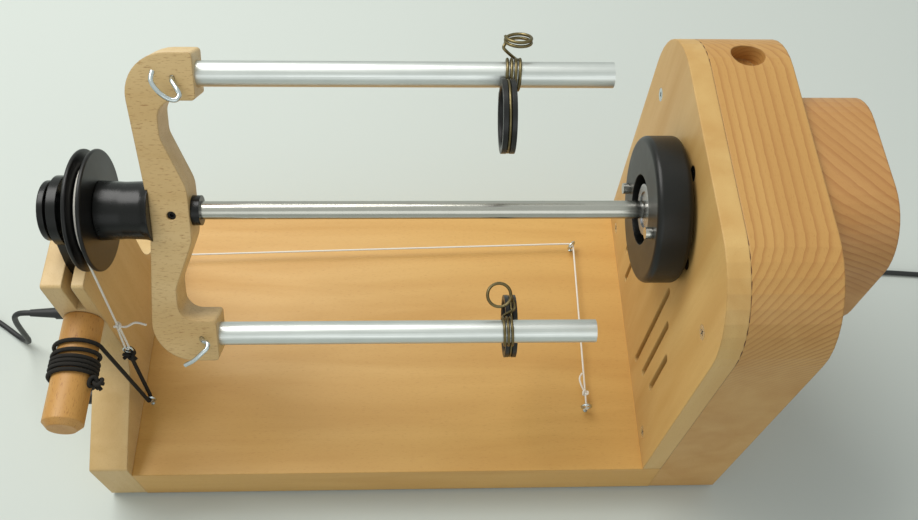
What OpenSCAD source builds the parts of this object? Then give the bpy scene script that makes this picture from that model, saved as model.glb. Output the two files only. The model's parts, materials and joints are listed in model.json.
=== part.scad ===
// Electric yarn spinner: a direct driven bobbin and a line-braked flyer on a wooden frame.
// Built along the spindle: +X runs from the orifice to the motor, +Y away from the front, +Z up.

/* [Base board] */
// Depth of the base, front to back
base_w = 188; // [170:1:210]
// Length of the base board between the upright and the motor housing
base_len = 320; // [310:1:340]
// Thickness of the base board
base_t = 36; // [30:1:45]
// Height of the rubber feet
foot_h = 2; // [1.6:0.2:4]
// Diameter of a rubber foot
foot_d = 16; // [12:1:20]
// Distance of a foot's centre from the two nearest edges
foot_inset = 15; // [12:1:20]
// Diameter of the long screws that hold the upright and the housing to the base
long_screw_d = 5; // [4:0.5:6]
// Length of those screws
long_screw_len = 50; // [40:1:60]

/* [Upright] */
// Thickness of the upright along the spindle
upright_t = 22; // [20:0.5:26]
// Width of the upright's post
post_w = 67; // [60:1:74]
// Height of the post above the base board
post_h = 125; // [120:1:128]
// Height of the upright's low ends above the base board
toe_h = 10; // [6:1:14]
// Height of the slope where it meets the post's curve
shoulder_h = 28; // [24:1:32]
// Depth of that slope, from the front
shoulder_y = 41; // [38:1:44]
// Radius of the curve between slope and post
waist_r = 22; // [14:1:26]
// Width of the slot that takes the bearing plate
slot_w = 5; // [5:0.1:5.6]
// Height of the slot's floor above the base board
slot_floor = 100; // [99:1:106]
// Distance from the upright's outer face to the middle of the slot
slot_x = 13.3; // [12.5:0.1:14]

/* [Motor housing] */
// Thickness of the face plate
plate_t = 11; // [9:0.5:13]
// Thickness of the housing behind the face plate
box_t = 42; // [40:1:52]
// Height of the housing above the base board
box_h = 201; // [195:1:215]
// Radius of the housing's two top corners
box_r = 45; // [35:1:55]
// Wall of the housing at its sides
box_wall = 14; // [10:1:18]
// Wall of the housing at its back
box_back = 9; // [7:1:11]
// Diameter of the blind hole in the top
top_hole_d = 17.5; // [15:0.5:19]
// Depth of the blind hole in the top
top_hole_depth = 14; // [10:1:20]
// Distance of the blind hole from the housing's rear side
top_hole_back = 35; // [31:1:40]
// Width and height of the rear cover, centred on the spindle
cover_w = 100; // [94:1:106]
// Depth of the rear cover
cover_t = 36; // [34:1:44]
// Corner radius of the rear cover
cover_r = 30; // [24:1:36]
// Wall of the rear cover
cover_wall = 8; // [6:1:9]

/* [Vents] */
// Width of a vent slot
vent_w = 4.4; // [4.2:0.2:5]
// Distance between two neighbouring vent slots
vent_pitch = 14.5; // [12:0.5:16]
// Length of the vent slot nearest the middle
vent_len = 94; // [80:1:96]
// How much shorter each next slot is
vent_step = 24; // [18:1:28]
// Height of the slots' middle above the base board
vent_z = 64; // [58:1:70]

/* [Spindle] */
// Height of the spindle above the base board
shaft_h = 146; // [144:0.5:150]
// Diameter of the steel shaft
shaft_d = 9.5; // [9:0.1:10]
// Running clearance of a shaft in its bearing, on the radius
run_gap = 0.05; // [0.03:0.01:0.08]
// Outside diameter of the orifice hub
hub_d = 31; // [29:0.5:34]
// Diameter of the orifice
orifice_d = 10; // [8:0.5:11]
// Diameter of the hub's neck in its bearing
neck_d = 17; // [15:0.5:18]
// Outside diameter of the orifice bearing
bearing_d = 26; // [25:0.5:28]
// Diameter of the brake pulley
pulley_d = 63; // [58:1:68]
// Width of the brake pulley
pulley_w = 9; // [8:0.5:10]
// Depth of the pulley's groove
groove_depth = 7; // [6:0.5:9]
// Distance from the upright's outer face to the pulley's middle
pulley_x = 28; // [27.6:0.1:28.4]

/* [Drive] */
// Diameter of the drive disc
disc_d = 77; // [72:1:80]
// Thickness of the drive disc
disc_t = 18; // [16:0.5:20]
// Gap between the drive disc and the face plate
disc_gap = 2; // [1.5:0.5:3]
// Diameter of the round recess in the disc
recess_d = 37; // [34:1:40]
// Depth of the round recess
recess_depth = 9; // [7:0.5:10]
// Distance of a drive pin from the axis
pin_r = 28; // [26:0.5:30]
// Diameter of a drive pin
pin_d = 6; // [5:0.5:7]
// Length of a drive pin that stands out of the disc
pin_out = 3.5; // [2:0.5:5]
// Diameter of the motor
motor_d = 60; // [50:1:64]
// Length of the motor
motor_len = 58; // [50:1:60]
// Distance of the motor's screws from the axis
motor_screw_r = 32; // [31:0.5:34]

/* [Flyer] */
// Angle at which the flyer stands, leaning to the back from upright
flyer_lean = 39; // [30:1:45]
// Thickness of the wooden arm
arm_t = 19; // [17:0.5:22]
// Distance of a tube's axis from the spindle
tube_r = 70; // [66:1:74]
// Diameter of a flyer tube
tube_d = 12.7; // [12:0.1:13.2]
// Wall of a flyer tube
tube_wall = 1.5; // [1:0.1:2.5]
// Length of a flyer tube that stands out of the arm
tube_out = 204.5; // [196:0.5:208]
// Depth of a tube's socket in the arm
tube_socket = 8; // [6:0.5:8]
// Height of the arm's lugs, along the radius
lug_h = 23; // [21:0.5:26]
// Width of the arm at the spindle
arm_hub_w = 19.5; // [18:0.5:21]
// Distance of the arm's back from the upright's outer face, at the spindle
arm_x = 59.5; // [59:0.1:60.5]

/* [Guides] */
// Diameter of the spring wire of a sliding guide
wire_d = 1.6; // [1.4:0.1:1.8]
// Clearance between the guide's coil and its tube, on the radius
coil_gap = 0.4; // [0.35:0.05:0.6]
// Pitch of the coil round the tube
coil_pitch = 2.1; // [2.1:0.1:2.6]
// Outside diameter of the yarn eye, measured on the middle of its wire
eye_d = 13; // [11:0.5:15]
// Outside diameter of the black grip ring
grip_d = 36; // [32:1:38]
// Width of the black grip ring
grip_w = 6.6; // [6:0.2:8]
// Place of the upper guide, from the upright's outer face
upper_guide_x = 241.8; // [200:0.1:260]
// Place of the lower guide, from the upright's outer face
lower_guide_x = 243.6; // [200:0.1:260]

/* [Brake and tension peg] */
// Diameter of the tension peg
peg_d = 21; // [19:0.5:22]
// Length of the peg that stands out of the post
peg_out = 63; // [55:1:66]
// Height of the peg's axis above the base board
peg_h = 88; // [86:0.5:88.5]
// Diameter of the peg's shank in the post
shank_d = 12; // [10:0.5:13]
// Diameter of the elastic cord
elastic_d = 2.3; // [2:0.1:2.6]
// Turns of elastic wound on the peg
elastic_turns = 5; // [4:1:8]
// Pitch of the turns on the peg
elastic_pitch = 4.2; // [3.2:0.2:5]
// Diameter of the white brake line
line_d = 1.2; // [1:0.1:1.4]

/* [Controls] */
// Diameter of the speed knob
knob_d = 10; // [8:0.5:12]
// Length of the speed knob
knob_len = 13; // [11:0.5:15]
// Diameter of a lead
lead_d = 3.5; // [3.2:0.1:4]
// Diameter of a lead's moulded plug
plug_d = 8; // [7:0.5:9]

/* [Hidden] */
$fn = 64;
eps = 0.01;

// Heights and places that follow from the sizes above
base_top = foot_h + base_t;
axis_y = base_w / 2;
axis_z = base_top + shaft_h;
box_x = upright_t + base_len;
plate_x = box_x - plate_t;
box_end = box_x + box_t;
cover_end = box_end + cover_t;
box_top = base_top + box_h;
post_front = axis_y - post_w / 2;
post_back = axis_y + post_w / 2;
peg_tip = post_front - peg_out;
peg_z = base_top + peg_h;
fit_gap = 0.05;
seat_gap = 0.3;
hub_room = 1;
knob_reach = knob_len + seat_gap;
mid_x = (cover_end - knob_reach) / 2;
mid_y = (base_w + peg_tip) / 2;

// Wood and metal colours
beech = [0.86, 0.66, 0.42];
beech_dark = [0.78, 0.55, 0.32];
black = [0.07, 0.07, 0.08];
steel = [0.72, 0.72, 0.74];
zinc = [0.75, 0.80, 0.80];
brass = [0.45, 0.38, 0.20];
alu = [0.80, 0.82, 0.82];
cord_white = [0.93, 0.92, 0.88];

// ---------- Helpers ----------

// Moves the machine so that its origin is under the middle of its box
module place() {
    translate([-mid_x, -mid_y, 0]) children();
}

// Moves to the spindle and turns a shape drawn along Z so that it runs along +X
module on_axis(x = 0) {
    translate([x, axis_y, axis_z]) rotate([0, 90, 0]) children();
}

// A cylinder along X from x0 to x1, at height z and depth y
module rod_x(x0, x1, y, z, d) {
    translate([x0, y, z]) rotate([0, 90, 0]) cylinder(h = x1 - x0, d = d);
}

// An outline drawn in depth and height, given a thickness along X
module slab_x(x0, t) {
    translate([x0, 0, 0]) rotate([90, 0, 90]) linear_extrude(t) children();
}

// The flyer's own frame: X along the spindle, Z along its radius, the arm's front at -Y
module in_flyer() {
    translate([0, axis_y, axis_z]) rotate([-flyer_lean, 0, 0]) children();
}

function unit(v) = v / norm(v);
function turn_of(a, b) = acos(max(-1, min(1, unit(a) * unit(b))));

// A corner [x, y, r] as the points of its round
function corner(a, p, b) =
    let (
        u = unit([a[0] - p[0], a[1] - p[1]]),
        v = unit([b[0] - p[0], b[1] - p[1]]),
        half = turn_of(u, v) / 2,
        reach = p[2] / tan(half),
        mid = unit(u + v) * (p[2] / sin(half)),
        s = [p[0], p[1]] + u * reach - ([p[0], p[1]] + mid),
        e = [p[0], p[1]] + v * reach - ([p[0], p[1]] + mid),
        a0 = atan2(s[1], s[0]),
        raw = atan2(e[1], e[0]) - a0,
        sweep = raw > 180 ? raw - 360 : (raw < -180 ? raw + 360 : raw),
        steps = max(2, ceil(abs(sweep) / 9))
    )
    p[2] <= 0 ? [[p[0], p[1]]]
    : [for (i = [0 : steps])
        [p[0], p[1]] + mid + p[2] * [cos(a0 + sweep * i / steps), sin(a0 + sweep * i / steps)]];

// A closed outline through corners with rounds
function rounded(c) = [
    for (i = [0 : len(c) - 1], q = corner(c[(i + len(c) - 1) % len(c)], c[i], c[(i + 1) % len(c)])) q
];

// A route through points whose bends are eased by the given reach
function eased(p, reach) = concat(
    [p[0]],
    [for (i = [1 : len(p) - 2])
        let (
            u = p[i - 1] - p[i],
            v = p[i + 1] - p[i],
            d = min(reach, norm(u) * 0.45, norm(v) * 0.45),
            a = p[i] + unit(u) * d,
            b = p[i] + unit(v) * d
        )
        for (t = [0, 0.33, 0.67, 1]) a * (1 - t) * (1 - t) + p[i] * 2 * t * (1 - t) + b * t * t],
    [p[len(p) - 1]]
);

// A smooth route through every point, with n steps between two of them
function smooth_at(a, b, c, d, t) =
    0.5 * (2 * b + (c - a) * t + (2 * a - 5 * b + 4 * c - d) * t * t
    + (3 * b - a - 3 * c + d) * t * t * t);
function smooth(p, n) = concat(
    [for (i = [0 : len(p) - 2], k = [0 : n - 1])
        smooth_at(p[max(i - 1, 0)], p[i], p[i + 1], p[min(i + 2, len(p) - 1)], k / n)],
    [p[len(p) - 1]]
);

function tangent(p, i) = unit(p[min(i + 1, len(p) - 1)] - p[max(i - 1, 0)]);
function across(v, t) = unit(v - (v * t) * t);
function frames(p, first) = [
    for (i = 0, n = across(first, tangent(p, 0)); i < len(p);
        i = i + 1, n = across(n, tangent(p, min(i, len(p) - 1)))) n
];

// One unbroken round tube along a route, as a closed polyhedron; d may hold a diameter per ring
module tube_along(p, d, sides, first = [0.1, 0.2, 1]) {
    n = frames(p, first);
    rings = len(p);
    wide = [for (i = [0 : rings - 1]) is_list(d) ? d[i] : d];
    pts = [
        for (i = [0 : rings - 1], k = [0 : sides - 1])
            let (t = tangent(p, i), b = cross(t, n[i]), a = 360 * k / sides)
            p[i] + wide[i] / 2 * (cos(a) * n[i] + sin(a) * b)
    ];
    walls = [
        for (i = [0 : rings - 2], k = [0 : sides - 1], half = [0, 1])
            let (
                a = i * sides + k,
                b = i * sides + (k + 1) % sides,
                c = a + sides,
                e = b + sides
            )
            half == 0 ? [a, c, b] : [b, c, e]
    ];
    front = [for (k = [0 : sides - 1]) k];
    back = [for (k = [sides - 1 : -1 : 0]) (rings - 1) * sides + k];
    polyhedron(points = pts, faces = concat([front], walls, [back]), convexity = 10);
}

// Least distance between the middles of two stretches of a wound route at least skip steps apart
function least_gap(p, skip) = min([
    for (i = [0 : len(p) - skip - 1], j = [i + skip : len(p) - 1]) norm(p[i] - p[j])
]);

// A countersunk screw along +X, its head's face at x = 0
module screw_x(d, len) {
    head_d = d * 1.9;
    head_t = d * 0.5;
    difference() {
        union() {
            rotate([0, 90, 0]) cylinder(h = head_t, d1 = head_d, d2 = d);
            rotate([0, 90, 0]) cylinder(h = len, d = d);
        }
        cross_recess(d * 0.9, head_t * 0.7);
    }
}

// The cross in a screw's head
module cross_recess(w, depth) {
    for (a = [0, 90]) {
        rotate([a, 0, 0]) translate([-eps, -w / 2, -w / 10]) cube([depth + eps, w, w / 5]);
    }
}

// The space that a countersunk screw fills in what it holds
module screw_hole_x(d, len) {
    head_d = d * 1.9 + 2 * fit_gap;
    translate([-eps, 0, 0]) rotate([0, 90, 0]) {
        cylinder(h = d * 0.5 + eps, d1 = head_d, d2 = d + 2 * fit_gap);
        cylinder(h = len + fit_gap, d = d + 2 * fit_gap);
    }
}

// ---------- Where the screws go ----------
plate_screw_d = 4;
plate_screw_len = plate_t + 16;
plate_screw_in = 20;
plate_screw_low = 11;
plate_screw_high = 151;
plate_screw_at = [
    for (y = [plate_screw_in, base_w - plate_screw_in], z = [plate_screw_low, plate_screw_high])
        [plate_x, y, base_top + z]
];
cover_screw_d = 3.5;
cover_screw_r = cover_w / 2 - cover_wall / 2;
cover_screw_len = cover_t + box_back - 2;
cover_screw_at = [
    for (a = [0 : 90 : 270]) [cover_end, axis_y + cover_screw_r * sin(a), axis_z + cover_screw_r * cos(a)]
];
long_screw_z = foot_h + base_t / 2;
long_screw_y = [30, base_w - 30];
box_counterbore = box_t - 14;
motor_screw_d = 4;
motor_head_t = 2.6;
motor_screw_at = [
    for (a = [0 : 90 : 270]) [plate_x, axis_y + motor_screw_r * sin(a), axis_z + motor_screw_r * cos(a)]
];
mount_t = 3;
mount_edge = 5;
motor_x = box_x + mount_t;
motor_room = 2;
motor_boss_d = 22;
motor_shaft_d = 8;

// ---------- Frame ----------

module base_board() {
    color(beech) place() difference() {
        translate([upright_t, 0, foot_h]) cube([base_len, base_w, base_t]);
        for (y = long_screw_y) {
            rod_x(upright_t - eps, long_screw_len + fit_gap, y, long_screw_z, long_screw_d + 2 * fit_gap);
            rod_x(box_x - long_screw_len + 14, box_x + eps, y, long_screw_z, long_screw_d + 2 * fit_gap);
        }
        for (e = eye_at) {
            translate([e[0], e[1], base_top - eye_shank - fit_gap])
                cylinder(h = eye_shank + 1, d = eye_wire + 2 * fit_gap);
        }
    }
}

module upright_outline() {
    slope = (shoulder_h - toe_h) / shoulder_y;
    low = base_top + toe_h + slope * post_front;
    polygon(rounded([
        [0, foot_h, 1],
        [0, base_top + toe_h, 2],
        [post_front, low, waist_r],
        [post_front, base_top + post_h, 2],
        [post_back, base_top + post_h, 2],
        [post_back, low, waist_r],
        [base_w, base_top + toe_h, 2],
        [base_w, foot_h, 1]
    ]));
}

module front_upright() {
    color(beech) place() difference() {
        slab_x(0, upright_t) upright_outline();
        translate([slot_x - slot_w / 2, post_front - 1, base_top + slot_floor])
            cube([slot_w, post_w + 2, post_h]);
        translate([upright_t / 2, post_front - 1, peg_z])
            rotate([-90, 0, 0]) cylinder(h = shank_len + 1 + fit_gap, d = shank_d + 2 * fit_gap);
        rod_x(-1, upright_t + 1, axis_y, axis_z, hub_d + 2 * hub_room);
        for (y = long_screw_y) translate([0, y, long_screw_z]) screw_hole_x(long_screw_d, upright_t + 1);
        rod_x(-1, pot_t + fit_gap, knob_y, knob_z, pot_d + 2 * fit_gap);
        rod_x(-1, socket_len + fit_gap, axis_y, pedal_z, socket_d + 2 * fit_gap);
        translate([-1, switch_y - switch_w / 2 - fit_gap, knob_z - switch_h / 2 - fit_gap])
            cube([switch_t + 1 + fit_gap, switch_w + 2 * fit_gap, switch_h + 2 * fit_gap]);
    }
}

module housing_outline(low, inset) {
    polygon(rounded([
        [inset, low, 1],
        [inset, box_top - inset, box_r - inset],
        [base_w - inset, box_top - inset, box_r - inset],
        [base_w - inset, low, 1]
    ]));
}

module vent_slot(y, length) {
    half = length / 2 - vent_w / 2;
    slab_x(plate_x - 1, plate_t + 2) translate([y, base_top + vent_z]) {
        square([vent_w, 2 * half], center = true);
        for (s = [-1, 1]) translate([0, s * half]) circle(d = vent_w, $fn = 24);
    }
}

module face_plate() {
    color(beech) place() difference() {
        slab_x(plate_x, plate_t) housing_outline(base_top, 0);
        for (i = [0 : 2], s = [-1, 1]) {
            vent_slot(axis_y + s * vent_pitch * (i + 2), vent_len - vent_step * i);
        }
        rod_x(plate_x - 1, box_x + 1, axis_y, axis_z, motor_boss_d + 2);
        for (p = plate_screw_at) translate(p) screw_hole_x(plate_screw_d, plate_screw_len);
        for (p = motor_screw_at) {
            rod_x(p[0] - 1, box_x + 1, p[1], p[2], motor_screw_d + 2 * fit_gap);
            rod_x(p[0] - 1, p[0] + motor_head_t + fit_gap, p[1], p[2], motor_screw_d * 2 + 2 * fit_gap);
        }
    }
}

// The space for the motor and the electrics, whose back panel is let in flush
pocket_low = base_top + 24;
pocket_top = axis_z + motor_screw_r + mount_edge + 1;
pocket_r = 3;
module pocket_outline(gap) {
    polygon(rounded([
        [box_wall + gap, pocket_low + gap, pocket_r],
        [box_wall + gap, pocket_top - gap, pocket_r],
        [base_w - box_wall - gap, pocket_top - gap, pocket_r],
        [base_w - box_wall - gap, pocket_low + gap, pocket_r]
    ]));
}

module cover_screw_holes() {
    for (p = cover_screw_at) {
        rod_x(box_end - box_back + 2, box_end + 1, p[1], p[2], cover_screw_d + 2 * fit_gap);
    }
}

module motor_housing() {
    color(beech) place() difference() {
        slab_x(box_x, box_t) housing_outline(foot_h, 0);
        slab_x(box_x - 1, box_t + 2) pocket_outline(0);
        translate([box_x + box_t / 2, base_w - top_hole_back, box_top - top_hole_depth])
            cylinder(h = top_hole_depth + 1, d = top_hole_d);
        for (p = plate_screw_at) translate(p) screw_hole_x(plate_screw_d, plate_screw_len);
        for (y = long_screw_y) {
            rod_x(box_x - 1, box_end, y, long_screw_z, long_screw_d + 2 * fit_gap);
            rod_x(box_x + 14, box_end + 1, y, long_screw_z, long_screw_d * 2.2);
        }
        cover_screw_holes();
        rod_x(box_end - socket_len - fit_gap, box_end + 1, power_y, power_z, socket_d + 2 * fit_gap);
    }
}

module housing_back() {
    color(beech) place() difference() {
        slab_x(box_end - box_back, box_back) pocket_outline(fit_gap);
        rod_x(box_end - box_back - 1, box_end + 1, axis_y, axis_z, motor_d + 2 * motor_room);
        cover_screw_holes();
    }
}

module square_outline(w, r) {
    polygon(rounded([
        [axis_y - w / 2, axis_z - w / 2, r],
        [axis_y - w / 2, axis_z + w / 2, r],
        [axis_y + w / 2, axis_z + w / 2, r],
        [axis_y + w / 2, axis_z - w / 2, r]
    ]));
}

module rear_cover() {
    color(beech_dark) place() difference() {
        slab_x(box_end, cover_t) square_outline(cover_w, cover_r);
        slab_x(box_end - 1, cover_t - cover_wall + 1)
            square_outline(cover_w - 2 * cover_wall, cover_r - cover_wall);
        for (p = cover_screw_at) translate(p) mirror([1, 0, 0]) screw_hole_x(cover_screw_d, cover_t + 1);
    }
}

module plate_screws() {
    color(zinc) place() for (p = plate_screw_at) translate(p) screw_x(plate_screw_d, plate_screw_len);
}

module base_screws() {
    color(zinc) place() for (y = long_screw_y) {
        translate([0, y, long_screw_z]) screw_x(long_screw_d, long_screw_len);
        translate([box_x + 14, y, long_screw_z]) mirror([1, 0, 0]) cheese_screw(long_screw_d, long_screw_len);
    }
}

// A screw along +X with a flat cylinder head that stands behind x = 0
module cheese_screw(d, len) {
    difference() {
        union() {
            rod_x(-d * 0.6, 0, 0, 0, d * 1.9);
            rod_x(-d * 0.3, len, 0, 0, d);
        }
        translate([-d * 0.6, 0, 0]) rod_x(-eps, d * 0.35, 0, 0, d * 0.8, $fn = 6);
    }
}

module cover_screws() {
    color(zinc) place() for (p = cover_screw_at) {
        translate(p) mirror([1, 0, 0]) screw_x(cover_screw_d, cover_screw_len);
    }
}

module rubber_feet() {
    xs = [foot_inset, box_end - foot_inset];
    ys = [foot_inset, base_w - foot_inset];
    color(black) place() for (x = xs, y = ys) {
        translate([x, y, 0]) cylinder(h = foot_h, d1 = foot_d - 2, d2 = foot_d);
    }
}

// ---------- Motor and electrics ----------

module motor_mount() {
    color(steel) place() difference() {
        rod_x(box_x, motor_x, axis_y, axis_z, 2 * (motor_screw_r + mount_edge));
        rod_x(box_x - 1, motor_x + 1, axis_y, axis_z, motor_boss_d + 2 * fit_gap);
        for (p = motor_screw_at) rod_x(box_x - 1, motor_x + 1, p[1], p[2], motor_screw_d + 2 * fit_gap);
    }
}

module motor_body() {
    bore = motor_shaft_d + 2 * run_gap;
    color([0.35, 0.35, 0.37]) place() difference() {
        union() {
            rod_x(motor_x, motor_x + motor_len, axis_y, axis_z, motor_d);
            rod_x(box_x, motor_x + 1, axis_y, axis_z, motor_boss_d);
        }
        rod_x(box_x - 1, motor_x + 22, axis_y, axis_z, bore);
    }
}

module motor_screws() {
    color(black) place() for (p = motor_screw_at) {
        difference() {
            union() {
                rod_x(p[0], p[0] + motor_head_t, p[1], p[2], motor_screw_d * 2);
                rod_x(p[0] + 1, motor_x + 3, p[1], p[2], motor_screw_d);
            }
            rod_x(p[0] - 1, p[0] + motor_head_t * 0.7, p[1], p[2], motor_screw_d * 0.75, $fn = 6);
        }
    }
}

board_y = box_wall + 2;
module control_board() {
    standoff = 3;
    bx = box_end - box_back - standoff - 1.6;
    color([0.10, 0.35, 0.20]) place() {
        translate([bx, board_y, base_top + 28]) cube([1.6, 70, 34]);
        for (y = [board_y + 5, board_y + 65], z = [base_top + 33, base_top + 57]) {
            rod_x(bx + 1.6 - eps, box_end - box_back, y, z, 5);
        }
        translate([bx - 10, board_y + 12, base_top + 36]) cube([10 + eps, 18, 18]);
    }
}

socket_d = 11;
socket_len = 14;
power_y = 122;
power_z = base_top + 12;
pedal_z = base_top + 31;
knob_y = 50;
knob_z = base_top + 3;
pot_d = 17;
pot_t = 12;
switch_y = base_w - knob_y;
switch_w = 13;
switch_h = 19;
switch_t = 14;
pin_hole = 5.6;

// A round socket whose mouth is at x = 0 and whose body runs along +X
module socket_x() {
    difference() {
        union() {
            rod_x(0, socket_len, 0, 0, socket_d);
            rod_x(-1, 0, 0, 0, socket_d + 3);
        }
        rod_x(-2, socket_len - 2, 0, 0, pin_hole);
    }
}

module power_socket() {
    color(black) place() translate([box_end, power_y, power_z]) mirror([1, 0, 0]) socket_x();
}

module pedal_socket() {
    color(black) place() translate([0, axis_y, pedal_z]) socket_x();
}

module speed_pot() {
    stem = 4;
    color([0.30, 0.32, 0.34]) place() {
        rod_x(seat_gap, pot_t, knob_y, knob_z, pot_d);
        rod_x(-knob_len + 5, seat_gap + 1, knob_y, knob_z, stem);
    }
}

module speed_knob() {
    bore = 4 + 2 * run_gap;
    color(black) place() difference() {
        union() {
            rod_x(-knob_reach, -seat_gap, knob_y, knob_z, knob_d);
            rod_x(-seat_gap - 2, -seat_gap, knob_y, knob_z, knob_d + 2);
        }
        rod_x(-knob_len + 5 - seat_gap, 0, knob_y, knob_z, bore);
        translate([-knob_reach - eps, knob_y - 0.4, knob_z + knob_d / 4]) cube([1, 0.8, knob_d / 2]);
    }
}

rocker_r = 7.4;
rocker_x = 3;
rocker_pin_d = 2.4;
rocker_dish_r = 9;
rocker_tilt = 8;
module switch_body() {
    lip = 1.5;
    color(black) place() difference() {
        union() {
            translate([0, switch_y - switch_w / 2, knob_z - switch_h / 2])
                cube([switch_t, switch_w, switch_h]);
            translate([-lip, switch_y - switch_w / 2 - 1, knob_z - switch_h / 2 - 1])
                cube([lip, switch_w + 2, switch_h + 2]);
        }
        translate([-lip - 1, switch_y - switch_w / 2 + 1.5, knob_z - switch_h / 2 + 1.5])
            cube([lip + 9, switch_w - 3, switch_h - 3]);
        translate([rocker_x, switch_y - switch_w / 2 + 0.4, knob_z])
            rotate([-90, 0, 0]) cylinder(h = switch_w - 0.8, d = rocker_pin_d + 2 * run_gap);
    }
}

// The rocker rests tilted to one side; it swings twice that tilt to the other
module switch_rocker() {
    w = switch_w - 3 - 2 * seat_gap;
    pin = switch_w - 1.6;
    front = 6.2;
    back = 2.8;
    color([0.13, 0.13, 0.14]) place()
        translate([rocker_x, switch_y, knob_z]) rotate([-90, rocker_tilt, 0]) {
            difference() {
                translate([0, 0, -w / 2]) cylinder(h = w, r = rocker_r);
                translate([back, -rocker_r, -w]) cube([rocker_r, 2 * rocker_r, 2 * w]);
                translate([-front - rocker_r, -rocker_r, -w]) cube([rocker_r, 2 * rocker_r, 2 * w]);
                translate([-front - 7.6, 0, -w]) cylinder(h = 2 * w, r = rocker_dish_r);
            }
            translate([0, 0, -pin / 2]) cylinder(h = pin, d = rocker_pin_d);
        }
}

// ---------- Orifice bearing in the upright's slot ----------
holder_t = slot_w - 0.3;
holder_r = 18;
module bearing_plate() {
    floor_z = base_top + slot_floor;
    low_w = 20;
    color(black) place() difference() {
        union() {
            rod_x(slot_x - holder_t / 2, slot_x + holder_t / 2, axis_y, axis_z, 2 * holder_r);
            slab_x(slot_x - holder_t / 2, holder_t) polygon([
                [axis_y - low_w, floor_z],
                [axis_y - low_w, axis_z - 20],
                [axis_y - holder_r + 1, axis_z - 6],
                [axis_y + holder_r - 1, axis_z - 6],
                [axis_y + low_w, axis_z - 20],
                [axis_y + low_w, floor_z]
            ]);
        }
        rod_x(0, upright_t, axis_y, axis_z, bearing_d + 2 * fit_gap);
    }
}

module orifice_bearing() {
    color(steel) place() difference() {
        rod_x(slot_x - holder_t / 2, slot_x + holder_t / 2, axis_y, axis_z, bearing_d);
        rod_x(0, upright_t, axis_y, axis_z, neck_d + 2 * run_gap);
    }
}

// ---------- Eye screws, peg, elastic and brake line ----------
eye_wire = 1.4;
eye_ring = 3;
eye_shank = 10;
eye_h = 6.5;
eye_z = base_top + eye_h;
wind_y = post_front - 16.5;
// The elastic bends round the first eye's top, and the line passes beside the second eye's wire
span_bend = (eye_wire + elastic_d) / 2 + seat_gap + fit_gap;
front_eye = [pulley_x, wind_y + span_bend];
back_eye = [pulley_x + (eye_wire + line_d) / 2 + seat_gap + fit_gap, 150];
far_back_eye = [299.5, 156.5];
far_front_eye = [299, 38.5];
eye_at = [front_eye, back_eye, far_back_eye, far_front_eye];
eye_turn = [90, 0, -45, 90];
shank_len = 30;

module eye_screws() {
    color(zinc) place() for (i = [0 : 3]) {
        translate([eye_at[i][0], eye_at[i][1], eye_z]) rotate([0, 0, eye_turn[i]]) {
            rotate([0, 90, 0]) rotate_extrude() translate([eye_ring, 0]) circle(d = eye_wire, $fn = 16);
            translate([0, 0, -eye_h - eye_shank]) cylinder(h = eye_h + eye_shank - eye_ring, d = eye_wire);
            translate([0, 0, -eye_h]) cylinder(h = 0.6, d = eye_wire * 2);
        }
    }
}

module tension_peg() {
    chamfer = 3;
    color(beech_dark) place() translate([upright_t / 2, 0, peg_z]) rotate([-90, 0, 0]) {
        translate([0, 0, peg_tip]) cylinder(h = chamfer, d1 = peg_d - 2 * chamfer, d2 = peg_d);
        translate([0, 0, peg_tip + chamfer]) cylinder(h = peg_out - chamfer - seat_gap, d = peg_d);
        translate([0, 0, peg_tip + chamfer]) cylinder(h = peg_out - chamfer + shank_len, d = shank_d);
    }
}

// The elastic's turns begin where its span leaves the peg and run towards the tip
wind_r = peg_d / 2 + elastic_d / 2 + 0.25;
wind_rings = 24;
to_eye = [front_eye[0] - upright_t / 2, eye_z - peg_z];
wind_a0 = atan2(to_eye[1], to_eye[0]) + acos(wind_r / norm(to_eye));
wind_start = [upright_t / 2 + wind_r * cos(wind_a0), wind_y, peg_z + wind_r * sin(wind_a0)];
wind_out = [sin(wind_a0), 0, -cos(wind_a0)];
winding = [
    for (k = [0 : elastic_turns * wind_rings])
        let (a = wind_a0 + 360 * k / wind_rings)
        [upright_t / 2 + wind_r * cos(a), wind_y - elastic_pitch * k / wind_rings, peg_z + wind_r * sin(a)]
];

module elastic_winding() {
    lead_in = wind_start + wind_out * elastic_d;
    echo("elastic winding, least gap", least_gap(winding, wind_rings - 4) - elastic_d);
    color(black) place() tube_along(concat([lead_in], winding), elastic_d, 6);
}

clip_low = [pulley_x, 54, base_top + 55];
clip_len = 9;
knot_at = [pulley_x, 59, base_top + 83];
clip_dir = unit(knot_at - clip_low);
clip_high = clip_low + clip_dir * clip_len;

module elastic_span() {
    first = wind_start + wind_out * (elastic_d + fit_gap);
    round_eye = [
        for (t = [0 : 30 : 180])
            [front_eye[0], front_eye[1] - span_bend * cos(t), eye_z + eye_ring - span_bend * sin(t)]
    ];
    route = concat([first, first + wind_out * elastic_d], round_eye, [
        clip_low - clip_dir * elastic_d,
        clip_low - clip_dir * fit_gap
    ]);
    color(black) place() tube_along(route, elastic_d, 8);
}

module line_clip() {
    color(black) place() translate(clip_low) along(clip_dir) {
        cylinder(h = clip_len * 0.6, d = 4.6);
        cylinder(h = clip_len, d = 3);
    }
}

// Turns a shape drawn along Z to the given direction
module along(v) {
    rotate([0, acos(v[2] / norm(v)), atan2(v[1], v[0])]) children();
}

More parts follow.
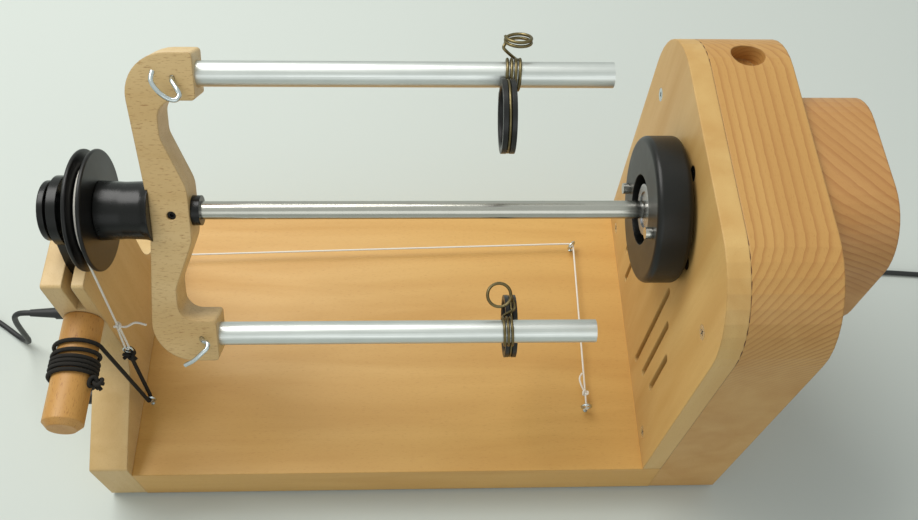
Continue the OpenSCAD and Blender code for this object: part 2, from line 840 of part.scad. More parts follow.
// The brake line runs over the pulley in a plane across the spindle
line_r = pulley_d / 2 - groove_depth + line_d / 2 + seat_gap;
function touch(p, side) =
    let (d = [p[1] - axis_y, p[2] - axis_z], l = norm(d))
    atan2(d[1], d[0]) + side * acos(line_r / l);
front_touch = touch(clip_high, -1);
back_touch = touch([0, back_eye[1], eye_z], 1);
arc_steps = 14;
line_arc = [
    for (i = [0 : arc_steps])
        let (a = (front_touch + 360) + (back_touch - front_touch - 360) * i / arc_steps)
        [pulley_x, axis_y + line_r * cos(a), axis_z + line_r * sin(a)]
];
line_bend = 1.2;

// The line goes round the three eyes and is knotted to itself past the last one
module brake_line() {
    back = [back_eye[0], back_eye[1], eye_z];
    far_back = [far_back_eye[0], far_back_eye[1], eye_z];
    far_front = [far_front_eye[0], far_front_eye[1], eye_z];
    knot = far_front + [0, 9, 0];
    low = eased([
        line_arc[arc_steps],
        [pulley_x, back[1], back[2] + 0.3],
        back + [5, 0, 0],
        far_back + [-5, line_bend, 0],
        far_back + [line_bend, line_bend, 0],
        far_back + [line_bend, -5, 0],
        knot + [0, 2, 0]
    ], 3);
    run = [for (i = [1 : len(low) - 1]) low[i]];
    bulge = [knot, knot - [0, 2, 0], knot - [0, 3, 0], far_front, far_front - [0, 2, 0]];
    route = concat([clip_high + clip_dir * 0.05], line_arc, run, bulge);
    wide = [
        for (i = [0 : len(route) - 1])
            let (k = i - (len(route) - len(bulge)))
            k == 0 || k == 1 ? line_d * 2.4 : line_d
    ];
    color(cord_white) place() tube_along(route, wide, 8);
}

// ---------- Drive ----------
disc_x = plate_x - disc_gap - disc_t;
recess_floor = disc_x + recess_depth;
pin_angle = 122;
pin_at = [
    for (a = [pin_angle, pin_angle + 180]) [axis_y + pin_r * sin(a), axis_z + pin_r * cos(a)]
];
pin_in = 9;
// A pin is undercut where it enters the disc
pin_neck = 0.5;
pin_shank_d = pin_d - 1;
collar_d = 27;
end_bearing_d = 19;
end_bearing_t = 5;
shaft_end = recess_floor - 1.5;

module drive_disc() {
    r = disc_d / 2;
    edge = 3;
    color(black) place() difference() {
        on_axis(disc_x) rotate_extrude() polygon(rounded([
            [0, 0, 0], [r, 0, edge], [r, disc_t, edge], [0, disc_t, 0]
        ]));
        rod_x(disc_x - 1, recess_floor, axis_y, axis_z, recess_d);
        rod_x(disc_x, disc_x + disc_t + 1, axis_y, axis_z, motor_shaft_d + 2 * fit_gap);
        for (p = pin_at) {
            rod_x(disc_x - 1, disc_x + pin_in + fit_gap, p[0], p[1], pin_shank_d + 2 * fit_gap);
        }
    }
}

module drive_pins() {
    color(steel) place() for (p = pin_at) {
        rod_x(disc_x - pin_out, disc_x - pin_neck, p[0], p[1], pin_d);
        rod_x(disc_x - pin_neck - eps, disc_x + pin_in, p[0], p[1], pin_shank_d);
    }
}

module drive_collar() {
    front = recess_floor - end_bearing_t - 2;
    color(steel) place() difference() {
        rod_x(front, recess_floor, axis_y, axis_z, collar_d);
        rod_x(front - 1, recess_floor - 1, axis_y, axis_z, end_bearing_d + 2 * fit_gap);
        rod_x(front - 1, recess_floor + 1, axis_y, axis_z, motor_shaft_d + 2 * fit_gap);
    }
}

module end_bearing() {
    x1 = recess_floor - 1.2;
    color(steel) place() difference() {
        rod_x(x1 - end_bearing_t, x1, axis_y, axis_z, end_bearing_d);
        rod_x(x1 - end_bearing_t - 1, x1 + 1, axis_y, axis_z, shaft_d + 2 * run_gap);
    }
}

module motor_shaft() {
    color(steel) place() rod_x(recess_floor, motor_x + 20, axis_y, axis_z, motor_shaft_d);
}

// ---------- Flyer ----------
lug_x = arm_x + 28;
tube_x0 = lug_x - tube_socket;
tube_x1 = lug_x + tube_out;
tenon_d = 12;
tenon_end = arm_x + 6;
bush_d = 15.6;
bush_t = 4.4;
arm_front = arm_x + arm_hub_w;
cap_x = slot_x - 8.1;
cap_t = 3.4;
seat_d = 20;
pulley_x0 = pulley_x - pulley_w / 2;
pulley_x1 = pulley_x + pulley_w / 2;

exit_x = pulley_x1 + 12;
exit_d = orifice_d + 1;
module orifice_hub() {
    color(black) place() difference() {
        union() {
            rod_x(cap_x, slot_x + holder_t / 2 + 1, axis_y, axis_z, neck_d);
            rod_x(slot_x + holder_t / 2 + seat_gap, pulley_x1, axis_y, axis_z, seat_d);
            on_axis(pulley_x1) rotate_extrude() polygon(rounded([
                [0, 0, 0],
                [hub_d / 2, 0, 0.6],
                [hub_d / 2 - 0.8, 13, 20],
                [hub_d / 2 - 0.4, arm_x - pulley_x1 - 4, 6],
                [hub_d / 2 + 1, arm_x - pulley_x1, 0.4],
                [0, arm_x - pulley_x1, 0]
            ]));
            rod_x(arm_x - 1, tenon_end, axis_y, axis_z, tenon_d);
        }
        rod_x(cap_x - 1, exit_x + orifice_d / 2, axis_y, axis_z, orifice_d);
        in_flyer() translate([exit_x, 0, 0]) rotate([-90, 0, 0]) cylinder(h = hub_d, d = exit_d);
    }
}

module orifice_cap() {
    color(black) place() difference() {
        on_axis(cap_x) rotate_extrude() polygon(rounded([
            [0, 0, 0], [hub_d / 2, 0, 0.8], [hub_d / 2, cap_t, 0.4], [0, cap_t, 0]
        ]));
        rod_x(cap_x - 1, cap_x + cap_t + 1, axis_y, axis_z, neck_d + 2 * fit_gap);
    }
}

module brake_pulley() {
    r = pulley_d / 2;
    w = pulley_w;
    root = r - groove_depth;
    color(black) place() difference() {
        on_axis(pulley_x0) rotate_extrude() polygon(rounded([
            [0, 0, 0],
            [r, 0, 1],
            [r, w * 0.22, 0.8],
            [root, w * 0.36, 0.8],
            [root, w * 0.64, 0.8],
            [r, w * 0.78, 0.8],
            [r, w, 1],
            [0, w, 0]
        ]));
        rod_x(pulley_x0 - 1, pulley_x1 + 1, axis_y, axis_z, seat_d + 2 * fit_gap);
    }
}

module arm_outline() {
    top = tube_r + lug_h / 2;
    low = tube_r - lug_h / 2;
    out = arm_x - 7.5;
    waist = arm_x + 8.8;
    polygon(rounded([
        [lug_x, top, 2],
        [out, top, 21],
        [arm_x, 0, 60],
        [out, -top, 21],
        [lug_x, -top, 2],
        [lug_x, -low, 2],
        [waist, -low, 9],
        [waist, -40, 12],
        [arm_front, -14, 18],
        [arm_front, 14, 18],
        [waist, 40, 12],
        [waist, low, 9],
        [lug_x, low, 2]
    ]));
}

// A hook's place along the spindle and along the radius, and its depth in the arm
upper_hook_at = [77.4, 69.4, 5];
lower_hook_at = [79.2, -68.6, 2.8];
hook_d = 2.4;
set_screw_x = arm_x + 10.5;
set_screw_d = 4.6;

module flyer_arm() {
    color(beech) place() in_flyer() difference() {
        translate([0, arm_t / 2, 0]) rotate([90, 0, 0]) linear_extrude(arm_t) arm_outline();
        for (s = [-1, 1]) rod_x(tube_x0, lug_x + 1, 0, s * tube_r, tube_d + 2 * fit_gap);
        rod_x(0, tenon_end + fit_gap, 0, 0, tenon_d + 2 * fit_gap);
        rod_x(0, arm_x, 0, 0, hub_d + 2 + 2 * fit_gap);
        rod_x(tenon_end - 1, lug_x, 0, 0, shaft_d + 2 * fit_gap);
        translate([set_screw_x, 0, 0]) rotate([90, 0, 0]) cylinder(h = arm_t, d = set_screw_d + 2 * fit_gap);
        for (h = [upper_hook_at, lower_hook_at]) {
            translate([h[0], -arm_t / 2 + h[2] + fit_gap, h[1]]) rotate([90, 0, 0])
                cylinder(h = arm_t, d = hook_d + 2 * fit_gap);
        }
    }
}

module flyer_bush() {
    color(black) place() difference() {
        rod_x(arm_front, arm_front + bush_t, axis_y, axis_z, bush_d);
        rod_x(arm_front - 1, arm_front + bush_t + 1, axis_y, axis_z, shaft_d + 2 * fit_gap);
    }
}

module flyer_shaft() {
    color(steel) place() rod_x(tenon_end + fit_gap, shaft_end, axis_y, axis_z, shaft_d);
}

module arm_set_screw() {
    color(black) place() in_flyer() translate([set_screw_x, -shaft_d / 2 - 0.1, 0]) rotate([90, 0, 0])
        difference() {
            cylinder(h = 3, d = set_screw_d);
            translate([0, 0, 1.4]) cylinder(h = 2, d = 2.4, $fn = 6);
        }
}

module flyer_tube(side) {
    color(alu) place() in_flyer() difference() {
        rod_x(tube_x0, tube_x1, 0, side * tube_r, tube_d);
        rod_x(tube_x0 - 1, tube_x1 + 1, 0, side * tube_r, tube_d - 2 * tube_wall);
    }
}

module upper_tube() { flyer_tube(1); }
module lower_tube() { flyer_tube(-1); }

// Hooks of bent wire: [along the spindle, out of the arm's middle plane, along the radius]
face = -arm_t / 2;
upper_hook_route = [
    [77.4, face - 0.6, 69.4], [78.2, face - 3.5, 68.2], [80.6, face - 6, 65.4],
    [82, face - 7.5, 62.6], [80.6, face - 9, 60.6], [77.2, face - 9.5, 61.2], [73, face - 9.5, 64.4],
    [69.6, face - 8, 69.2], [70, face - 5.5, 73.6]
];
lower_hook_route = [
    [79.2, face - 0.6, -68.6], [80.6, face - 3.2, -68.4], [83.2, face - 5.4, -68.6],
    [83.6, face - 7.4, -70.4], [80.8, face - 8.6, -73], [76.4, face - 8.8, -77], [71.2, face - 7.5, -80.4]
];

// A hook's shank goes straight into the arm, and its bends follow the route
module hook(at, route) {
    shank = [[at[0], face + at[2], at[1]], [at[0], face, at[1]]];
    color(zinc) place() in_flyer() tube_along(concat(shank, smooth(route, 3)), hook_d, 8);
}

module upper_hook() { hook(upper_hook_at, upper_hook_route); }
module lower_hook() { hook(lower_hook_at, lower_hook_route); }

// ---------- Sliding guides ----------
// Directions round a tube are angles from straight up towards the back
function ray(a) = [0, sin(a), cos(a)];
coil_r = tube_d / 2 + coil_gap + wire_d / 2;
grip_wire_r = grip_d / 2 - 0.9;
grip_reach = coil_r + grip_wire_r;
coil_rings = 12;
loop_rings = 24;
eye_turns = 2;

// The guide's wire: yarn eye, stem, coil round the tube, then one turn round the grip ring
function guide_route(side, eye_a, eye_tilt, eye_out, eye_x, grip_a, turns) =
    let (
        c = [side * eye_x, 0, 0] + ray(eye_a) * eye_out,
        n = ray(eye_tilt),
        b = ray(eye_tilt + 90),
        x = [side, 0, 0],
        coil_len = coil_pitch * turns,
        eye = [
            for (k = [0 : eye_turns * loop_rings * 0.75])
                let (a = 180 - 360 * eye_turns + 360 * k / (loop_rings * 0.75))
                c + x * eye_d / 2 * cos(a) + b * eye_d / 2 * sin(a)
                - n * coil_pitch * (k / (loop_rings * 0.75) - eye_turns / 2)
        ],
        sweep = turns * 360,
        first_a = grip_a + sweep,
        coil = [
            for (k = [0 : round(turns * coil_rings)])
                let (t = k / round(turns * coil_rings))
                ray(first_a - sweep * t) * coil_r + x * coil_len * (0.5 - t)
        ],
        stem = smooth([
            eye[len(eye) - 1],
            ray(eye_a + 6) * (coil_r + 5.5) - x * 4,
            ray(first_a + 28) * (coil_r + 2.4) + x * coil_len * 0.3,
            coil[0]
        ], 3),
        g = ray(grip_a) * grip_reach - x * coil_len / 2,
        t0 = ray(grip_a - 90),
        grip = [
            for (k = [1 : loop_rings - 2])
                let (a = 360 * k / loop_rings)
                g - ray(grip_a) * grip_wire_r * cos(a) + t0 * grip_wire_r * sin(a)
        ]
    )
    concat(eye, [for (i = [1 : len(stem) - 2]) stem[i]], coil, grip);

// side, eye's direction, its tilt, its distance out and along, grip ring's direction, turns
upper_guide = [1, 58, 23, 17, 2.9, -95, 3.43];
lower_guide = [-1, 64, -26, 20, 4.6, 147, 2.77];
upper_tube_at = [0, axis_y, axis_z] + ray(flyer_lean) * tube_r;
lower_tube_at = [0, axis_y, axis_z] - ray(flyer_lean) * tube_r;

module guide_wire(g) {
    route = guide_route(g[0], g[1], g[2], g[3], g[4], g[5], g[6]);
    echo("guide wire, least gap", least_gap(route, 9) - wire_d);
    tube_along(route, wire_d, 6);
}

module guide_grip(g) {
    r = grip_d / 2;
    floor_r = grip_wire_r - wire_d / 2 - 0.25;
    inner_r = floor_r - 1.4;
    half = wire_d / 2 + 0.1;
    mid = grip_w / 2;
    difference() {
        translate(ray(g[5]) * grip_reach - [g[0] * coil_pitch * g[6] / 2 + mid, 0, 0])
            rotate([0, 90, 0]) rotate_extrude() polygon([
                [inner_r, 0.8], [inner_r + 0.8, 0], [r, 0], [r, mid - half], [floor_r, mid - half],
                [floor_r, mid + half], [r, mid + half], [r, grip_w], [inner_r + 0.8, grip_w],
                [inner_r, grip_w - 0.8]
            ]);
        rod_x(-grip_w * 2, grip_w * 2, 0, 0, 2 * coil_r + wire_d + 2 * seat_gap);
    }
}

module upper_guide_wire() {
    color(brass) place() translate(upper_tube_at + [upper_guide_x, 0, 0]) guide_wire(upper_guide);
}

module upper_guide_grip() {
    color(black) place() translate(upper_tube_at + [upper_guide_x, 0, 0]) guide_grip(upper_guide);
}

module lower_guide_wire() {
    color(brass) place() translate(lower_tube_at + [lower_guide_x, 0, 0]) guide_wire(lower_guide);
}

module lower_guide_grip() {
    color(black) place() translate(lower_tube_at + [lower_guide_x, 0, 0]) guide_grip(lower_guide);
}

// ---------- Leads, put away in coils past the edges of the view ----------
coil_layers = 4;
coil_mean_r = 20;
loop_pitch = lead_d + 0.6;
layer_h = lead_d + 0.5;
tie_t = 0.8;
coil_z = tie_t + seat_gap + lead_d / 2;
lead_z = lead_d / 2;

// A pile of spiral layers, in and out again, that climbs where the spiral turns back.
// way is 1 for a coil that turns to the left as it goes and -1 for one that turns to the right.
function coil_route(centre, a0, way, loops) =
    let (
        per = loops / coil_layers,
        outer = coil_mean_r + loop_pitch * per / 2,
        last = round(loops * loop_rings)
    )
    [for (k = [0 : last])
        let (
            t = k / loop_rings,
            layer = min(coil_layers - 1, floor(t / per)),
            f = t / per - layer,
            r = layer % 2 == 0 ? outer - loop_pitch * per * f : outer - loop_pitch * per * (1 - f),
            turns_in = f * per,
            turns_left = per - turns_in,
            up = layer < coil_layers - 1 && turns_left < 0.25 ? 0.5 - 2 * turns_left : 0,
            down = layer > 0 && turns_in < 0.25 ? 2 * turns_in - 0.5 : 0,
            a = a0 + way * 360 * t
        )
        [centre[0] + r * cos(a), centre[1] + r * sin(a), coil_z + layer_h * (layer + up + down)]
    ];

function straight_ends(p, d) = concat(
    [p[0] - unit(p[1] - p[0]) * d],
    p,
    [p[len(p) - 1] + unit(p[len(p) - 1] - p[len(p) - 2]) * d]
);

// The tie round a coil, at the angle a
module coil_tie(centre, loops, a) {
    half = loop_pitch * loops / coil_layers / 2 + lead_d / 2 + seat_gap;
    high = layer_h * (coil_layers - 1) + lead_d + 2 * seat_gap;
    wide = 5;
    translate([centre[0], centre[1], 0]) rotate([0, 0, a]) translate([coil_mean_r, wide / 2, tie_t])
        rotate([90, 0, 0]) linear_extrude(wide) difference() {
            translate([-half - tie_t, -tie_t]) square([2 * (half + tie_t), high + 2 * tie_t]);
            translate([-half, 0]) square([2 * half, high]);
        }
}

power_coil_at = [605, 128];
power_coil_loops = 9.25;
power_coil_a0 = 90;
pedal_coil_at = [-135, 108];
pedal_coil_loops = 7.25;
pedal_coil_a0 = 90;
tie_a = 225;
plug_len = 22;
relief_len = 16;
barrel_d = 5.5;
barrel_in = 10;
pedal_plug_end = -46;
power_plug_end = box_end + 40;
power_turns = coil_route(power_coil_at, power_coil_a0, -1, power_coil_loops);
pedal_turns = coil_route(pedal_coil_at, pedal_coil_a0, 1, pedal_coil_loops);
power_ends = straight_ends(power_turns, lead_d);
pedal_ends = straight_ends(pedal_turns, lead_d);

// Free stretches between the plug and the coil
power_points = [
    [box_end + 52, 122.8, 48.6],
    [box_end + 61, 126, 42],
    [box_end + 68, 130, 30],
    [box_end + 74, 134, 17],
    [box_end + 82, 139, 6],
    [box_end + 94, 145, 1.9],
    [box_end + 108, 151, 1.8],
    [box_end + 123, 155.5, 1.8],
    [box_end + 139, 158, 1.8],
    [box_end + 155, 158, 1.8],
    [box_end + 171, 156.9, 1.8],
    [box_end + 186, 155.7, 1.9],
    [box_end + 200, 154.6, 2.3]
];
pedal_points = [
    [-54, 94.2, 67.6],
    [-58.5, 94.8, 62],
    [-61.5, 95.8, 52],
    [-63.5, 97, 41],
    [-65.5, 98.5, 29],
    [-68, 100.5, 17],
    [-72.5, 103.5, 7.5],
    [-80, 108.5, 2.6],
    [-89, 115, 1.8],
    [-98, 121.2, 1.8],
    [-108, 127, 1.8],
    [-118.5, 130.8, 2.1]
];

// A lead leaves its plug straight and comes straight into its coil
function lead_route(start, way, points, coil) = concat(
    [start],
    smooth(concat(
        [start + [way * lead_d, 0, 0]],
        points,
        [coil[0] - unit(coil[1] - coil[0]) * lead_d]
    ), 2),
    [coil[0]]
);

module power_lead() {
    route = lead_route([power_plug_end, power_y, power_z], 1, power_points, power_ends);
    echo("power lead, free stretch", route_length(route));
    color(black) place() tube_along(route, lead_d, 8);
}

module pedal_lead() {
    route = lead_route([pedal_plug_end, axis_y, pedal_z], -1, pedal_points, pedal_ends);
    echo("pedal lead, free stretch", route_length(route));
    color(black) place() tube_along(route, lead_d, 8);
}

function route_length(p) = path_sum([for (i = [1 : len(p) - 1]) norm(p[i] - p[i - 1])]);
function path_sum(v) = v * [for (x = v) 1];

power_out = power_ends[len(power_ends) - 1] - [0, lead_d, 0];

module power_coil() {
    route = concat(power_ends, [power_out]);
    echo("power coil, least gap", least_gap(route, loop_rings - 6) - lead_d);
    echo("power coil, length", route_length(route));
    color(black) place() tube_along(route, lead_d, 6);
}

// The lead drops from the top of its coil to the plug that lies beside it
pedal_last = pedal_ends[len(pedal_ends) - 1];
pedal_plug_z = plug_d / 2 + 0.1;
pedal_drop = [
    pedal_last + [0, -6, -0.8],
    pedal_last + [0.4, -13, -4],
    pedal_last + [1, -20, -8],
    [pedal_last[0] + 1.4, pedal_last[1] - 28, pedal_plug_z + 0.6],
    [pedal_last[0] + 1.5, pedal_last[1] - 34, pedal_plug_z]
];
pedal_plug_at = pedal_drop[4] - [0, lead_d, 0];

module pedal_coil() {
    route = concat(pedal_ends, smooth(pedal_drop, 2), [pedal_plug_at]);
    echo("pedal coil, least gap", least_gap(route, loop_rings - 6) - lead_d);
    echo("pedal coil, length", route_length(route));
    color(black) place() tube_along(route, lead_d, 6);
}

module power_coil_tie() {
    color(black) place() coil_tie(power_coil_at, power_coil_loops, tie_a);
}

module pedal_coil_tie() {
    color(black) place() coil_tie(pedal_coil_at, pedal_coil_loops, tie_a);
}

// A small round plug along +Z: tip, barrel, grip and strain relief down to the lead
module small_plug(total, d) {
    tip = barrel_in;
    grip = total - relief_len;
    difference() {
        union() {
            cylinder(h = tip + 1, d = barrel_d);
            translate([0, 0, tip]) cylinder(h = grip, d = d);
            translate([0, 0, tip + grip]) cylinder(h = relief_len, d1 = d - 1.4, d2 = lead_d + 0.9);
        }
        translate([0, 0, -1]) cylinder(h = 7, d = 2.2);
    }
}

module power_plug() {
    start = box_end - barrel_in + 1.2;
    color(black) place() translate([start, power_y, power_z]) rotate([0, 90, 0])
        small_plug(power_plug_end - box_end - 1.2, plug_d + 1);
}

module pedal_plug() {
    start = barrel_in - 1.2;
    color(black) place() translate([start, axis_y, pedal_z]) rotate([0, -90, 0])
        small_plug(-pedal_plug_end - 1.2, plug_d);
}

module pedal_far_plug() {
    total = plug_len + relief_len;
    color(black) place() translate(pedal_plug_at - [0, total + barrel_in, 0]) rotate([-90, 0, 0])
        small_plug(total, plug_d);
}

// A plain mains adapter lying beside the coil, with its lead in the middle of one end
module power_adapter() {
    exit = power_out;
    relief = 22;
    body = [32, 50, 2 * exit[2] - 0.6];
    edge = 4;
    pin_gap = 19;
    color(black) place() translate([exit[0], exit[1], 0]) {
        translate([0, 0, exit[2]]) rotate([90, 0, 0]) cylinder(h = relief + 1, d1 = lead_d + 1, d2 = plug_d);
        translate([0, -relief - body[1], 0.3]) linear_extrude(body[2])
            polygon(rounded([
                [-body[0] / 2, 0, edge],
                [body[0] / 2, 0, edge],
                [body[0] / 2, body[1], edge],
                [-body[0] / 2, body[1], edge]
            ]));
        for (s = [-1, 1]) {
            translate([s * pin_gap / 2, 0, exit[2]]) rotate([90, 0, 0])
                translate([0, 0, relief + body[1] - 1]) cylinder(h = 20, d = 4);
        }
    }
}

// ---------- Every named node ----------
base_board();
front_upright();
face_plate();
motor_housing();
housing_back();
rear_cover();
plate_screws();
base_screws();
cover_screws();
rubber_feet();
motor_mount();
motor_body();
motor_screws();
control_board();
power_socket();
pedal_socket();
speed_pot();
switch_body();
switch_rocker();
speed_knob();
bearing_plate();
orifice_bearing();
eye_screws();
tension_peg();
elastic_winding();
elastic_span();
line_clip();
brake_line();
drive_disc();
drive_pins();
drive_collar();
motor_shaft();
end_bearing();
orifice_hub();
orifice_cap();
brake_pulley();
flyer_arm();
flyer_bush();
flyer_shaft();
arm_set_screw();
upper_tube();
lower_tube();
upper_hook();
lower_hook();
upper_guide_wire();
upper_guide_grip();
lower_guide_wire();
lower_guide_grip();
power_plug();
power_lead();
power_coil();
power_coil_tie();
power_adapter();
pedal_plug();
pedal_lead();
pedal_coil();
pedal_coil_tie();
pedal_far_plug();
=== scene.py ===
"""Looks for the electric yarn spinner: materials, wires, cords, light and camera.

Lengths are in metres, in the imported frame: +X along the spindle, +Y away from the front, +Z up.
Sizes in millimetres are given through mm(), in the machine's own measure: x from the upright's
outer face, y from the base's front edge, z from the surface that it stands on.
"""
import json
import math

import bmesh
import bpy
from mathutils import Matrix, Vector


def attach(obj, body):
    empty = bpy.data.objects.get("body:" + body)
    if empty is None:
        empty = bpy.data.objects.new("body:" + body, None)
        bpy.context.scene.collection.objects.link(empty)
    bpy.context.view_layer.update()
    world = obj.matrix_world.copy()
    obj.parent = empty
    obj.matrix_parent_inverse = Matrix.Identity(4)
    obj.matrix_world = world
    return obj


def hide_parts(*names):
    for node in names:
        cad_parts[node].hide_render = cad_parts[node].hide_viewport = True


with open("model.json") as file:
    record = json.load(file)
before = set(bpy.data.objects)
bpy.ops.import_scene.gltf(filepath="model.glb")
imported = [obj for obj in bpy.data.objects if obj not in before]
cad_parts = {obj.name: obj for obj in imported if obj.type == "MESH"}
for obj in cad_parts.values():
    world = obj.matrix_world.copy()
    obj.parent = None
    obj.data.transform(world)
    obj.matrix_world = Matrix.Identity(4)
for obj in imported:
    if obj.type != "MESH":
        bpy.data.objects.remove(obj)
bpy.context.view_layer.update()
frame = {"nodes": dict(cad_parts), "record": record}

MM = 0.001

# The ends of the machine, in millimetres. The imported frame's origin lies midway between them.
BASE_W = 188
PEG_TIP = -2.5
COVER_END = 420
KNOB_REACH = 13.3
MID_X = (COVER_END - KNOB_REACH) / 2
MID_Y = (BASE_W + PEG_TIP) / 2


def mm(x, y, z):
    """A point of the machine's own measure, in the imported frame."""
    return Vector(((x - MID_X) * MM, (y - MID_Y) * MM, z * MM))


# ---------------------------------------------------------------- driving sizes, in millimetres

BASE_TOP = 38
BASE_LEN = 320
UPRIGHT_T = 22
POST_W = 67
BOX_T = 42
BOX_H = 201
BOX_R = 45
AXIS_Y = 94
AXIS_Z = BASE_TOP + 146
LEAN = 39
ARM_T = 19
TUBE_R = 70
TUBE_D = 12.7
HOOK_D = 2.4
WIRE_D = 1.6
COIL_GAP = 0.4
COIL_PITCH = 2.1
GUIDE_EYE_D = 13
GRIP_D = 36
UPPER_GUIDE_X = 241.8
LOWER_GUIDE_X = 243.6
PULLEY_X = 28
PULLEY_D = 63
GROOVE_DEPTH = 7
PEG_D = 21
PEG_Z = BASE_TOP + 88
LEAD_D = 3.5
PLUG_D = 8
ELASTIC_D = 2.3
LINE_D = 1.2
EYE_WIRE = 1.4
EYE_RING = 3
EYE_Z = BASE_TOP + 6.5
SEAT_GAP = 0.3
FIT_GAP = 0.05

PEG_X = UPRIGHT_T / 2
POST_FRONT = AXIS_Y - POST_W / 2
BOX_X = UPRIGHT_T + BASE_LEN
BOX_END = BOX_X + BOX_T
BOX_TOP = BASE_TOP + BOX_H


# ---------------------------------------------------------------- geometry helpers

def ray(angle):
    """A direction round a tube, from straight up towards the back."""
    a = math.radians(angle)
    return Vector((0, math.sin(a), math.cos(a)))


def smooth(points, steps):
    """A smooth run of points through the given ones, by the rule that the solids follow."""
    out = []
    last = len(points) - 1
    for i in range(last):
        a, b = points[max(i - 1, 0)], points[i]
        c, d = points[i + 1], points[min(i + 2, last)]
        for k in range(steps):
            t = k / steps
            out.append(0.5 * (2 * b + (c - a) * t + (2 * a - 5 * b + 4 * c - d) * t * t
                              + (3 * b - a - 3 * c + d) * t ** 3))
    return out + [points[last]]


def in_flyer(x, depth, s):
    """A point of the flyer's own frame: along the spindle, out of the arm's plane, along its radius."""
    a = math.radians(-LEAN)
    return mm(x, AXIS_Y + depth * math.cos(a) - s * math.sin(a),
              AXIS_Z + depth * math.sin(a) + s * math.cos(a))


def points_mm(route):
    """A route in millimetres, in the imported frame."""
    return [mm(*p) for p in route]


def linked(name, data):
    """A new object in the scene."""
    piece = bpy.data.objects.new(name, data)
    bpy.context.scene.collection.objects.link(piece)
    return piece


def wire(name, points, diameter, sides=4):
    """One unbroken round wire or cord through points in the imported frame."""
    curve = bpy.data.curves.new(name, "CURVE")
    curve.dimensions = "3D"
    curve.bevel_depth = diameter * MM / 2
    curve.bevel_resolution = sides
    curve.use_fill_caps = True
    spline = curve.splines.new("POLY")
    spline.points.add(len(points) - 1)
    for i, p in enumerate(points):
        spline.points[i].co = (p.x, p.y, p.z, 1)
    return linked(name, curve)


# ---------------------------------------------------------------- materials

# The colour sockets of a mix node that is set to colours.
MIX_A = 6
MIX_B = 7
MIX_RESULT = 2

# The width of one ring of a wave texture at scale 1.
WAVE_WIDTH = 0.314


class Nodes:
    """Small helper to write a material's nodes."""

    def __init__(self, name):
        self.material = bpy.data.materials.new(name)
        self.material.use_nodes = True
        self.tree = self.material.node_tree
        self.shader = self.tree.nodes["Principled BSDF"]

    def node(self, kind, **values):
        made = self.tree.nodes.new(kind)
        for key, value in values.items():
            setattr(made, key, value)
        return made

    def link(self, a, b):
        self.tree.links.new(a, b)

    def coords(self, scale=(1, 1, 1), turn=(0, 0, 0), move=(0, 0, 0)):
        """Object coordinates, moved, turned and then scaled."""
        texture = self.node("ShaderNodeTexCoord")
        first = self.node("ShaderNodeMapping")
        first.inputs["Location"].default_value = move
        first.inputs["Rotation"].default_value = [math.radians(t) for t in turn]
        self.link(texture.outputs["Object"], first.inputs["Vector"])
        second = self.node("ShaderNodeMapping")
        second.inputs["Scale"].default_value = scale
        self.link(first.outputs["Vector"], second.inputs["Vector"])
        return second.outputs["Vector"]

    def noise(self, vector, detail=2.0, rough=0.5, distort=0.0):
        """Noise at scale 1: the coordinates carry the scale."""
        made = self.node("ShaderNodeTexNoise")
        made.inputs["Scale"].default_value = 1
        made.inputs["Detail"].default_value = detail
        made.inputs["Roughness"].default_value = rough
        made.inputs["Distortion"].default_value = distort
        self.link(vector, made.inputs["Vector"])
        return made.outputs["Fac"]

    def ramp(self, value, stops):
        """A value turned into a grey or a colour; each stop is its place and its shade."""
        made = self.node("ShaderNodeValToRGB")
        ramp = made.color_ramp
        while len(ramp.elements) < len(stops):
            ramp.elements.new(0.5)
        for element, (place, shade) in zip(ramp.elements, stops):
            element.position = place
            element.color = (*shade, 1) if hasattr(shade, "__len__") else (shade, shade, shade, 1)
        self.link(value, made.inputs["Fac"])
        return made.outputs["Color"]

    def feed(self, value, socket):
        """Gives a socket another socket's value, a colour or a number."""
        if isinstance(value, bpy.types.NodeSocket):
            self.link(value, socket)
        elif hasattr(value, "__len__"):
            socket.default_value = (*value, 1)
        else:
            socket.default_value = value

    def mix(self, factor, a, b, blend="MIX"):
        made = self.node("ShaderNodeMix", data_type="RGBA", blend_type=blend)
        self.feed(factor, made.inputs["Factor"])
        self.feed(a, made.inputs[MIX_A])
        self.feed(b, made.inputs[MIX_B])
        return made.outputs[MIX_RESULT]

    def math(self, operation, a, b):
        made = self.node("ShaderNodeMath", operation=operation)
        self.feed(a, made.inputs[0])
        self.feed(b, made.inputs[1])
        return made.outputs[0]

    def bump(self, height, strength, distance, normal=None):
        made = self.node("ShaderNodeBump")
        made.inputs["Strength"].default_value = strength
        made.inputs["Distance"].default_value = distance
        self.link(height, made.inputs["Height"])
        if normal is not None:
            self.link(normal, made.inputs["Normal"])
        return made.outputs["Normal"]

    def soft_edge(self, radius, samples):
        """A normal that rounds sharp edges, for a bump to start from."""
        edge = self.node("ShaderNodeBevel", samples=samples)
        edge.inputs["Radius"].default_value = radius
        return edge.outputs["Normal"]

    def set(self, **values):
        """Sets or links the shader's own inputs and gives the finished material."""
        for key, value in values.items():
            self.feed(value, self.shader.inputs[key.replace("_", " ")])
        return self.material


def srgb(r, g, b):
    """A colour from 0 to 255, as the picture shows it, for a shader."""
    def one(v):
        v /= 255
        return v / 12.92 if v <= 0.04045 else ((v + 0.055) / 1.055) ** 2.4
    return one(r), one(g), one(b)


def stretch(grain, along, across):
    """Texture scales that are long along one axis of the grain."""
    return [along if axis == grain else across for axis in "XYZ"]


